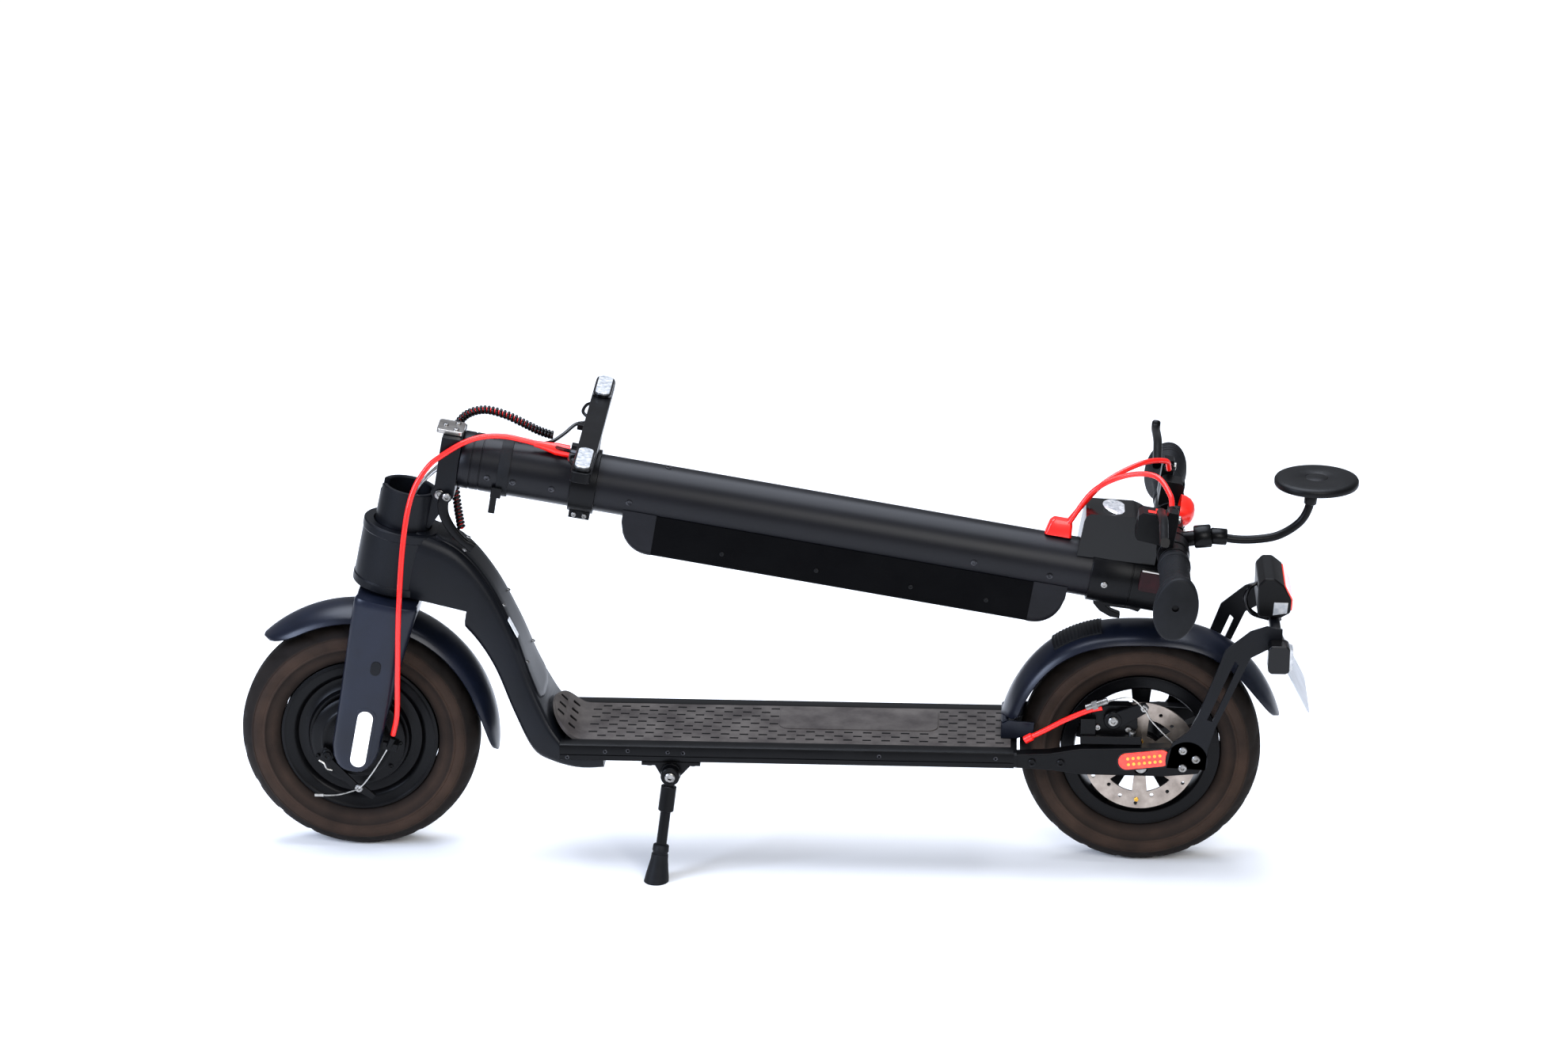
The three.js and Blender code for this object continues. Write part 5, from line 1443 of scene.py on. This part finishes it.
    def caliper(self) -> None:
        """Makes the caliper, its lever and the rear brake cable."""
        at = BODY @ Matrix.Translation((384, 0, 176))
        shell = Shape().prism([(-24, -12), (-20, -20), (20, -20), (26, -10), (25, 6), (16, 14), (-8, 14),
                               (-22, 6)], -50, -34.6)
        shell.prism([(-18, -20), (16, -20), (20, -8), (14, 8), (-14, 8)], -35, -25.2)
        cuts = Shape().box(-40, 40, -33.6, -28.4, -40, -2)
        piece("caliper_shell", shell, BLACK_ALLOY, at, "frame", ["brake_caliper"], bevel=1.4, cuts=cuts)
        foot = Shape().box(-34, 30, -61.5, -44.5, -25.4, -16)
        foot.box(-34, -18, -58, -45, -18, 2)
        piece("caliper_foot", foot, BLACK_ALLOY, at, "frame", bevel=1.0)
        screws = Shape()
        for x, z in ((-16, -10), (16, -12), (14, 4)):
            bolt(screws, (x, -49.8, z), (0, -1, 0), 3.4, 2.6)
        for x in (-24, 20):
            bolt(screws, (x, -53, -16.2), (0, 0, 1), 4.2, 3.6)
        piece("caliper_screws", screws, BOLT, at, "frame")
        barrel = Shape().rod((-29, -57, 14), (-6, -57, 22.5), 3.6, steps=20, chamfer=0.6)
        barrel.rod((-22, -57, 16.6), (-17, -57, 18.4), 5.0, steps=6)
        piece("cable_barrel", barrel, BOLT, at, "frame")
        arm = Shape().turn([(0.4, -58), (8.6, -58), (10, -56.6), (10, -51), (0.4, -51)], 48)
        arm.prism([(-8, -6), (8, -7), (34, 9), (37, 15), (33, 20), (27, 19), (4, 10)], -57.4, -52.6)
        piece("caliper_arm_skin", arm, BLACK_ALLOY, at, "caliper_lever", ["caliper_arm"], bevel=0.7)
        nuts = Shape()
        bolt(nuts, (0, -57.8, 0), (0, -1, 0), 5.2, 3.0)
        bolt(nuts, (32, -57.2, 15), (0, -1, 0), 4.0, 3.0)
        piece("caliper_arm_bolts", nuts, BOLT, at, "caliper_lever")
        inner = Shape().pipe([(378, -57, 198.2), (400, -59, 203), (416, -60.4, 191), (424, -60.4, 178),
                              (450, -60, 150)], 0.85, 30, 8)
        inner.pipe([(446, -60.1, 154), (452, -60, 148)], 1.8, 4, 10)
        piece("rear_inner_wire", inner, WIRE, BODY, "frame")
        jacket = Shape().pipe([(294, -54, 152.5), (312, -56, 163), (334, -57, 176), (358, -57, 187),
                               (372, -57, 190.5)], 2.7, 40, 16)
        jacket.rod((300, -54.6, 156), (292, -54, 151), 4.2, steps=20, chamfer=0.5)
        piece("rear_cable_jacket", jacket, RED_CABLE, BODY, "frame", ["rear_brake_cable"])


@dataclass
class Stem:
    """Hinge block, latch, tube, battery, light bar and the catch at the stem's head."""

    radius: float = 30.0

    def build(self) -> None:
        """Makes the pieces along the stem."""
        self.hinge()
        self.tube()
        self.battery()
        self.lights()
        self.head()

    def hinge(self) -> None:
        """Makes the folding block, latch plate and lock lever."""
        side = [(-29, 14.6), (-29, -6.5), (-14, -6.8), (26.5, -6.8), (33.5, -10), (42, -5), (44, 4),
                (40, 12), (34, 14.6)]
        shape = Shape().prism(side, -27, 27)
        cuts = Shape().box(-20, 60, -14.4, 14.4, -30, 11)
        cuts.prism(arc(33.5, 0, 4.4, 0, 345, 23), -40, 40)
        piece("hinge_block_skin", shape, SATIN, STEM, "stem", ["hinge_block"], bevel=1.2, cuts=cuts)
        plate = Shape().prism(rounded(-17, 17, -14, 14, 4, 5), -34, -29.4, "X")
        piece("latch_plate_skin", plate, STEEL, STEM, "stem", ["latch_plate"], bevel=0.6)
        bolts = Shape()
        for y, z in ((-10, 6), (10, 6), (0, -6)):
            bolt(bolts, (-33.8, y, z), (-1, 0, 0), 3.0, 1.8)
        piece("latch_bolts", bolts, BOLT, STEM, "stem")
        path = [(32, -30.4, 8), (40, -30.4, 5), (54, -30.4, 8), (68, -30.4, 18), (79, -30.4, 31),
                (85, -30.4, 43)]
        spine = smooth(path, 28)
        rings = []
        for i, p in enumerate(spine):
            t = i / 28
            way = (spine[min(i + 1, 28)] - spine[max(i - 1, 0)]).normalized()
            up = Vector((-way.z, 0, way.x))
            half = 6.2 - 2.2 * t + (1.4 if t > 0.9 else 0)
            ring = []
            for k in range(16):
                a = 2 * math.pi * k / 16
                ring.append(tuple(p + up * half * math.cos(a)
                                  + Vector((0, 2.9 * math.copysign(abs(math.sin(a)) ** 0.5,
                                                                   math.sin(a)), 0))))
            rings.append(ring)
        piece("lock_lever_skin", Shape().loft(rings), BLACK_ALLOY, STEM, "lock_lever", ["fold_lever"],
              angle=60)
        pivot = Shape()
        bolt(pivot, (33, -33.0, 8), (0, -1, 0), 4.4, 2.4)
        piece("lock_lever_pivot", pivot, BOLT, STEM, "lock_lever")

    def tube(self) -> None:
        """Makes the round stem tube with its foot seams, screws and the strap."""
        r = self.radius
        profile = [(r - 4, 15)] + [(r - 1, 15), (r, 16), (r, 26.4), (r - 0.7, 26.8), (r - 0.7, 27.6),
                                   (r, 28), (r, 36.4), (r - 0.7, 36.8), (r - 0.7, 37.6), (r, 38),
                                   (r, 681), (r, 757.6), (r - 4, 757.6)]
        piece("stem_tube_skin", Shape().turn(profile, 128, axis="Z"), MATTE, STEM, "stem",
              ["stem_tube"], angle=50)
        strap = Shape().turn([(r + 0.1, 56), (r + 1.5, 56.2), (r + 1.7, 57), (r + 1.7, 67),
                              (r + 1.5, 67.8), (r + 0.1, 68)], 96, axis="Z")
        piece("stem_strap", strap, RUBBER, STEM, "stem")
        buckle = Shape().box(15, 26, -31, -25.5, 52, 63).box(27, 46, -24, -22.4, 52, 59)
        piece("strap_buckle", buckle, PLASTIC, STEM, "stem", bevel=0.8)
        screws = Shape()
        for z in (46, 73, 114, 196, 560, 640):
            bolt(screws, (6, -r + 0.7, z), (0.2, -1, 0), 3.3, 1.2)
            bolt(screws, (6, r - 0.5, z), (0.2, 1, 0), 2.5, 1.0)
        for z in (46, 73, 230):
            bolt(screws, (-r + 0.3, -2, z), (-1, 0, 0), 3.3, 1.0)
        piece("stem_screws", screws, SCREW, STEM, "stem")
        course = [(-222, -14.6, 457.6), (-212, -13.8, 455), (-200, -12.6, 451.4), (-186, -11.6, 448.2)]
        boot = Shape().pipe(course, lambda t: 3.4 + 3.2 * min(1, t * 1.5) ** 1.5, 24, 20)
        piece("cable_boot", boot, RED_CABLE, BODY, "stem")

    def battery(self) -> None:
        """Makes the battery's wrapped middle and its two moulded caps."""
        def section(grow: float, depth: float) -> list[Flat]:
            """Gives the section's outline in X and Y.

            Args:
                grow: how far the sides pull in.
                depth: where the far face lies.

            Returns:
                The outline.
            """
            out = []
            half = 26 - grow
            low, high = 20.5, depth
            for k in range(25):
                a = math.radians(-90 + 180 * k / 24)
                cx = max(high - 15, low)
                out.append((cx + 15 * math.copysign(abs(math.cos(a)) ** 0.8, math.cos(a)),
                            half * math.copysign(abs(math.sin(a)) ** 0.62, math.sin(a))))
            seat = 30.7
            for k in range(13):
                y = half - 2 * half * k / 12
                out.append((math.sqrt(max(0.0, seat ** 2 - y ** 2)) if abs(y) < seat else 8, y))
            return out

        wrap = Shape().loft([[(x, y, z) for x, y in section(0.4, 65.6)]
                             for z in (225.6, 426.0, 626.4)])
        piece("battery_wrap_skin", wrap, WRAP, STEM, "stem", ["battery_case"], bevel=0.6)
        for name, stands, way, start in (("battery_cap_low", "battery_cap_lower", -1, 226.6),
                                         ("battery_cap_high", "battery_cap_upper", 1, 625.4)):
            rings = []
            for k in range(13):
                t = k / 12
                deep = 66 - 34 * (1 - math.sqrt(max(0.0, 1 - max(0.0, (t - 0.06) / 0.94) ** 2.2)))
                rings.append([(min(x, max(deep, 0)) if x > 31 else x, y, start + way * 35.4 * t)
                              for x, y in section(0, max(36.4, deep))])
            piece(name, Shape().loft(rings), CAP, STEM, "stem", [stands], angle=50)
        bumps = Shape()
        for z in (300, 400, 500, 580):
            bolt(bumps, (46, -25.4, z), (0, -1, 0), 2.4, 0.9)
        piece("battery_screws", bumps, PLASTIC, STEM, "stem")

    def lights(self) -> None:
        """Makes the light bar with its two lamps, clamp ring, connectors and wires."""
        bar = Shape().prism(rounded(-155, 155, 135.6, 156.4, 6, 6), -62, -51.2, "X")
        bar.prism(rounded(-15, 15, 136, 156, 2, 3), -52, -30.6, "X")
        ring = Shape().turn([(30.5, 132.5), (33.4, 132.5), (34, 133.1), (34, 158.9), (33.4, 159.5),
                             (30.5, 159.5)], 96, axis="Z")
        ring.box(29, 38, -16, 16, 135, 157)
        piece("light_bar_skin", bar, BLACK_ALLOY, STEM, "stem", ["light_bar"], bevel=0.8)
        piece("light_bar_ring", ring, BLACK_ALLOY, STEM, "stem", bevel=0.5)
        screws = Shape()
        bolt(screws, (34, -15.8, 140.5), (0, -1, 0), 2.8, 2.0)
        bolt(screws, (34, -15.8, 151.5), (0, -1, 0), 2.8, 2.0)
        piece("light_bar_screws", screws, BOLT, STEM, "stem")
        for side in Side:
            y = side.value * 119
            tag = side.name.lower()
            rim = Shape().prism(rounded(y - 32, y + 32, 136.4, 155.6, 8.6, 8), -65.8, -61.8, "X")
            glass = Shape().prism(rounded(y - 29.6, y + 29.6, 138.4, 153.6, 7, 8), -67.3, -65.6, "X")
            piece(f"bar_lamp_rim_{tag}", rim, GLOSS_PLASTIC, STEM, "stem", bevel=0.8)
            piece(f"bar_lamp_{tag}", glass, SILVER_PAINTED_GLOW, STEM, "stem", bevel=0.7)
            plug = Shape().box(-50, -41, y * 0.42 - 7, y * 0.42 + 7, 136, 152)
            plug.box(-49, -43, y * 0.28 - 5, y * 0.28 + 5, 128, 144)
            piece(f"bar_connector_{tag}", plug, PLASTIC, STEM, "stem", bevel=0.8)
            wires = Shape().pipe([(-46, y * 0.42, 137), (-44, y * 0.36, 126), (-38, y * 0.2, 116),
                                  (-33.5, y * 0.06, 106), (-32, -2, 96)], 2.0, 30, 8)
            wires.pipe([(-47, y * 0.5, 138), (-48, y * 0.62, 130), (-50, y * 0.78, 132),
                        (-50, y * 0.9, 141)], 1.8, 30, 8)
            piece(f"bar_wires_{tag}", wires, GLOSS_PLASTIC, STEM, "stem")

    def head(self) -> None:
        """Makes the head sleeve, the headlight, the bar clamp and the folding catch."""
        sleeve = Shape().turn([(30.5, 682), (33, 682), (33.4, 682.5), (33.4, 723.6), (32.7, 724),
                               (32.7, 725), (33.4, 725.4), (33.4, 766.6), (32, 768), (0.3, 768),
                               (0.3, 760), (30.5, 760)], 96, axis="Z")
        cuts = Shape().rod((-54, -60, 757.7), (-54, 60, 757.7), 11.5, steps=48)
        piece("head_sleeve", sleeve, BLACK_ALLOY, STEM, "stem", ["stem_head"], angle=40, cuts=cuts)
        block = Shape().prism(rounded(-70, -30, 745.8, 767.6, 5, 6), -24, 24)
        piece("bar_clamp", block, BLACK_ALLOY, STEM, "stem", bevel=1.0,
              cuts=Shape().rod((-54, -60, 757.7), (-54, 60, 757.7), 11.5, steps=48))
        hook = Shape().prism([(30, 744), (30, 690), (37, 692), (44, 700), (48.6, 712), (48.6, 722),
                              (43.6, 722), (41.4, 712), (37.4, 706), (36.4, 730), (38, 740)], -5, 5)
        piece("catch_hook", hook, BLACK_ALLOY, STEM, "stem", bevel=0.8)
        tab = Shape().prism(rounded(-19, 3, 732, 757, 3, 4), -37.4, -31)
        piece("catch_box", tab, BURGUNDY, STEM, "stem", bevel=1.4)
        edge = Shape().box(-20.4, -18.6, -37, -31, 733, 756)
        piece("catch_edge", edge, STEEL, STEM, "stem", bevel=0.3)
        screws = Shape()
        for z, x in ((697, 4), (744, -6)):
            bolt(screws, (x, -33.2, z), (0, -1, 0), 3.4, 1.8)
            bolt(screws, (x, 33.2, z), (0, 1, 0), 3.4, 1.8)
        for y in (-18, 18):
            for x in (-64, -44):
                bolt(screws, (x, y, 767.4), (0, 0, 1), 2.8, 2.0)
        piece("head_screws", screws, BOLT, STEM, "stem")
        side = [(-20, 664), (-58, 664.4), (-64, 665.6), (-67.6, 670), (-72.6, 714), (-71, 721),
                (-66, 733), (-62, 741), (-59, 745), (-24, 745)]
        body = Shape().prism(side, -26, 26)
        cuts = Shape().rod((0, 0, 600), (0, 0, 681.6), 30.6, steps=64)
        cuts.rod((0, 0, 681.2), (0, 0, 800), 34, steps=64)
        piece("headlight_case", body, GLOSS_PLASTIC, STEM, "stem", ["headlight_housing"], bevel=2.4,
              cuts=cuts)
        lamp = []
        for d, grow in ((-1.5, 0.8), (0.6, 1.0), (1.8, 0.92), (2.4, 0.7)):
            lamp.append([(15.5 * grow * math.cos(t), 21 * grow * math.sin(t), d)
                         for t in (2 * math.pi * k / 40 for k in range(40))])
        place = (STEM @ Matrix.Translation((-70.0, 0, 697)) @ Matrix.Rotation(math.radians(-83.5), 4, "Y"))
        piece("headlight_lens", Shape().loft(lamp), SILVER_PAINTED_GLOW, place, "stem")
        ring = []
        for r in (1.0, 1.14):
            ring.append([(15.5 * r * math.cos(t), 21 * r * math.sin(t), 0.8)
                         for t in (2 * math.pi * k / 40 for k in range(40))])
        strip = Shape().prism(rounded(-8, 8, 668, 692, 1.5), -67.9, -66.9, "X")
        lean = STEM @ Matrix.Translation((0.2, 0, 0))
        piece("headlight_strip", strip, GLOSS_PLASTIC, lean, "stem")


@dataclass
class Cockpit:
    """Handlebar, grips, brake levers, switches, throttle, bell and mirror."""

    bar_x: float = -54.0
    bar_z: float = 757.7

    def build(self) -> None:
        """Makes the controls."""
        x, z = self.bar_x, self.bar_z
        bar = Shape().rod((x, -211, z), (x, 211, z), 11.1, steps=64)
        piece("handlebar_skin", bar, BLACK_ALLOY, STEM, "stem", ["handlebar"], angle=40)
        for side in Side:
            self.grip(side)
            self.lever(side)
        self.switches()
        self.bell()
        self.mirror()

    def grip(self, side: Side) -> None:
        """Makes one ribbed grip with a flared palm rest.

        Args:
            side: the grip's side.
        """
        stations = [(0, 15, 1), (0.012, 16.6, 1), (0.05, 17, 1), (0.09, 17, 1), (0.1, 15.6, 1),
                    (0.5, 16, 1), (0.6, 16.8, 1.06), (0.72, 19, 1.24), (0.82, 21, 1.38), (0.9, 22.4, 1.48),
                    (0.97, 22.6, 1.5), (0.99, 22, 1.5), (1, 20.4, 1.5)]
        start, end = 96, 214
        count = 150
        rings = []
        for i in range(count + 1):
            t = i / count
            k = max(j for j in range(len(stations) - 1) if stations[j][0] <= t + 1e-9)
            (t0, r0, f0), (t1, r1, f1) = stations[k], stations[k + 1]
            u = min(1.0, (t - t0) / (t1 - t0))
            r, flat = r0 + (r1 - r0) * u, f0 + (f1 - f0) * u
            if 0.12 < t < 0.97 and i % 5 in (0, 1):
                r -= 0.7
            y = side.value * (start + (end - start) * t)
            rings.append([(self.bar_x + r * math.cos(a) * flat + (flat - 1) * 12, y,
                           self.bar_z + r * math.sin(a)) for a in
                          (2 * math.pi * q / 56 for q in range(56))])
        tag = side.name.lower()
        hole = Shape().rod((self.bar_x, side.value * 90, self.bar_z),
                           (self.bar_x, side.value * 213, self.bar_z), 11.4, steps=48)
        hole.rod((self.bar_x + 4, side.value * 211, self.bar_z - 1),
                 (self.bar_x + 4, side.value * 216, self.bar_z - 1), 3.6, steps=24)
        piece(f"grip_{tag}_skin", Shape().loft(rings), RUBBER, STEM, "stem", [f"grip_{tag}"], angle=40,
              cuts=hole)

    def lever(self, side: Side) -> None:
        """Makes one lever perch and its curved lever blade.

        Args:
            side: the lever's side.
        """
        y = side.value
        tag = side.name.lower()
        x, z = self.bar_x, self.bar_z
        perch = Shape().turn([(11.5, min(y * 74.4, y * 91.6)), (16, min(y * 74.4, y * 91.6)),
                              (16, max(y * 74.4, y * 91.6)), (11.5, max(y * 74.4, y * 91.6))], 48, (x, z))
        perch.prism([(-66, 742), (-98, 741.4), (-106.6, 743.4), (-106.6, 753), (-98, 754.4), (-66, 754)],
                    *sorted((y * 75.2, y * 90.8)))
        piece(f"perch_{tag}_skin", perch, BLACK_ALLOY, STEM, "stem", [f"perch_{tag}"], bevel=0.8)
        barrel = Shape().rod((-101, y * 72.6, 747.7), (-101, y * 62, 747.7), 3.6, steps=20, chamfer=0.6)
        barrel.rod((-101, y * 70.6, 747.7), (-101, y * 65.4, 747.7), 4.9, steps=16, chamfer=0.5)
        piece(f"barrel_{tag}", barrel, BLACK_ALLOY, STEM, "stem")
        spine = smooth([(-99, y * 79, 735.7), (-103, y * 96, 735.7), (-108, y * 124, 735.7),
                        (-106, y * 156, 735.7), (-104, y * 180, 735.7), (-108, y * 188, 735.7)], 36)
        rings = []
        for i, p in enumerate(spine):
            t = i / 36
            way = (spine[min(i + 1, 36)] - spine[max(i - 1, 0)]).normalized()
            out = Vector((way.y, -way.x, 0)) * y
            half = 6.6 - 2.8 * math.sin(math.pi * min(1, t * 1.25) / 2) + (1.2 if t > 0.93 else 0)
            ring = []
            for k in range(18):
                a = 2 * math.pi * k / 18
                ring.append(tuple(p + out * half * math.cos(a) + Vector((0, 0, 4.7 * math.copysign(
                    abs(math.sin(a)) ** 0.6, math.sin(a))))))
            rings.append(ring)
        piece(f"brake_lever_{tag}_skin", Shape().loft(rings), BLACK_ALLOY, STEM, f"lever_{tag[0]}",
              [f"brake_lever_{tag}"], angle=60)
        pivot = Shape()
        bolt(pivot, (-98, y * 84, 754), (0, 0, 1), 4.4, 2.4)
        piece(f"lever_pivot_{tag}", pivot, BOLT, STEM, "stem")

    def switches(self) -> None:
        """Makes the switch box, throttle and horn button."""
        x, z = self.bar_x, self.bar_z

        def band(lo: float, hi: float, r: float) -> list[Flat]:
            """Gives a clamp ring's profile from lo to hi with an outer radius r."""
            return [(11.5, lo), (r - 0.6, lo), (r, lo + 0.6), (r, hi - 0.6), (r - 0.6, hi), (11.5, hi)]

        box = Shape().turn(band(-71.8, -48.2, 17), 48, (x, z))
        box.prism([(-64, 718), (-68, 715), (-91, 715), (-94.6, 719), (-94.6, 746), (-91, 749.2),
                   (-68, 749.8), (-62, 752)], -71.6, -48.4)
        piece("switch_case", box, PLASTIC, STEM, "stem", ["switch_box"], bevel=1.0)
        buttons = Shape().box(-95, -94.2, -67, -60, 724, 742).box(-95, -94.2, -58, -52, 732, 742)
        piece("switch_rockers", buttons, RED_PAINT, STEM, "stem", bevel=0.2)
        horn = Shape().rod((-78, -60, 751.6), (-78, -60, 754.6), 5, steps=32, chamfer=0.6)
        piece("horn_cap", horn, RED_PAINT, STEM, "horn", ["horn_button"])
        case = Shape().turn(band(48.2, 71.8, 17), 48, (x, z))
        case.prism(rounded(-92, -62, 742, 772 - 6, 6, 5), 48.4, 71.6)
        piece("throttle_case", case, PLASTIC, STEM, "stem", ["throttle_housing"], bevel=0.8)
        face = Shape().prism(rounded(-90, -72, 52, 68, 3), 766.0, 766.8, "Z")
        piece("throttle_face", face, GLOSS_PLASTIC, STEM, "stem")
        lever = Shape().turn(band(41.2, 47.8, 18), 48, (x, z))
        lever.prism(rounded(-30, -14, 741, 760, 5, 5), 41.4, 65.6)
        piece("throttle_lever_skin", lever, BLACK_ALLOY, STEM, "thumb_throttle", ["throttle_lever"],
              bevel=0.8)

    def bell(self) -> None:
        """Makes the red bell dome on the handlebar."""
        profile = [(0.3, 10), (6, 9.6), (13, 7.6), (18.5, 3.6), (21.6, -2), (22.4, -7), (21.4, -7),
                   (20.4, -2), (17.4, 2.6), (12, 6.2), (6, 8), (0.3, 8.4)]
        dome = Shape().turn([(r * 0.78, -h) for r, h in profile], 64, axis="Z")
        place = STEM @ Matrix.Translation((-71, 23, 769.5)) @ Matrix.Rotation(math.pi, 4, "X")
        piece("bell_dome", dome, RED_PAINT, place, "stem")
        foot = Shape().rod((-71, 23, 757), (-71, 23, 766), 5, steps=24).box(-74, -60, 17, 29, 751, 758)
        piece("bell_foot", foot, PLASTIC, STEM, "stem", bevel=0.6)

    def mirror(self) -> None:
        """Makes the mirror, its arm and its clamp."""
        clamp = Shape().turn([(11.5, -42), (15.4, -42), (16, -41.4), (16, -26.6), (15.4, -26),
                              (11.5, -26)], 48, (self.bar_x, self.bar_z))
        piece("mirror_clamp", clamp, BLACK_ALLOY, STEM, "stem", ["mirror_arm"])
        neck = Shape().pipe([(480, -34, 376.5), (505, -34, 372), (529, -34, 372.5), (551, -34, 377.5),
                             (571, -34, 391.5), (580, -34, 408), (582.6, -34, 429.6)], 4.4, 60, 20)
        neck.rod((450, -34, 370.6), (486, -34, 375.4), 8, steps=32, chamfer=1.0)
        neck.rod((463, -34, 373.6), (481, -34, 375.4), 12, steps=40, chamfer=1.4)
        neck.rod((480, -34, 375.3), (497, -34, 374.2), 8.6, steps=32, chamfer=1.0)
        neck.rod((581.2, -34, 412), (582.4, -34, 426), 6.6, steps=32, chamfer=1.0)
        piece("mirror_neck", neck, BLACK_ALLOY, BODY, "stem", angle=50)
        dish = Shape().turn([(0.3, 441.4), (11, 441.4), (11.6, 441), (12.2, 441.4), (38.4, 441.3),
                              (42.4, 440.2), (43.4, 438.4), (43.4, 434.6), (42.6, 433.2), (40.8, 433.2),
                              (40.6, 434.2), (12, 434.2), (11, 432.2), (0.3, 432.2)], 128, (587, -34),
                            axis="Z")
        piece("mirror_shell", dish, PLASTIC, BODY, "mirror", ["mirror_head"], angle=50)
        glass = Shape().turn([(12.4, 434.1), (40.4, 434.1), (40.4, 433.7), (12.4, 433.4)], 128,
                             (587, -34), axis="Z")
        piece("mirror_face", glass, MIRROR, BODY, "mirror", angle=50)


@dataclass
class Cables:
    """Control cables at the bar and the spiral-wrapped loom that spans the fold."""

    def build(self) -> None:
        """Makes the red brake cables and the loom's two stretches."""
        reds = Shape()
        reds.pipe([(-101, -62, 747.7), (-112, -52, 743.7), (-121, -28, 727.7), (-110, -8, 699.7),
                   (-86, -4, 669.7), (-44, -4, 649.7)], 2.8, 80, 16)
        reds.pipe([(-101, 62, 747.7), (-112, 54, 741.7), (-112, 30, 713.7), (-90, 8, 677.7),
                   (-44, 4, 649.7)], 2.8, 80, 16)
        rings = []
        for x, y0, z0, z1 in ((-31, 8, 628, 656), (-44, 7.6, 631, 655), (-48, 5.6, 634, 653)):
            rings.append([(x, y, z) for y, z in rounded(-y0, y0, z0, z1, 3, 4)])
        reds.loft(rings)
        piece("control_jackets", reds, RED_CABLE, STEM, "stem", ["control_cables"], angle=50)
        self.loom("lower", [(-314, 40, 424), (-314, 40, 405), (-310, 32, 374), (-304, 14, 352)],
                  "frame")
        self.loom("upper", [(-205, 8, 459), (-220, 11, 463), (-236, 15, 469.5), (-256, 20, 477),
                            (-278, 26, 480), (-297, 31, 473), (-309, 36, 458), (-314, 40, 440),
                            (-314, 40, 424)], "steering")

    def loom(self, tag: str, points: list[Point], a: str) -> None:
        """Makes one stretch of the loom: a spiral wrap over a red core.

        Args:
            tag: the stretch's name.
            points: its course.
            a: the body at its first end; not used, as the stretch is left unparented.
        """
        wrap = Shape().helix(points, 3.2, 1.75, 4.0, 8)
        core = Shape().pipe(points, 2.7, 60, 12)
        for label, shape, finish in (("wrap", wrap, GLOSS_PLASTIC), ("core", core, RED_CABLE)):
            made = piece(f"loom_{label}_{tag}", shape, finish, BODY, a, ["cable_loom"], ride=False,
                         angle=60)
            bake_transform(made)


def axle_pieces() -> None:
    """Makes the front axle."""
    axle = Shape().rod((0, -60, 0), (0, 60, 0), 5.9, steps=40)
    piece("front_axle_skin", axle, BOLT, STEER, "steering", ["front_axle"], angle=30)


def main() -> None:
    """Builds the studio and every sub-assembly."""
    logging.basicConfig(level=logging.INFO, format="%(message)s")
    for part in (Studio(), Wheels(), FrontEnd(), Deck(), RearEnd(), Stem(), Cockpit(), Cables()):
        LOG.info("building %s", type(part).__name__)
        part.build()
    axle_pieces()


if __name__ == "__main__":
    main()
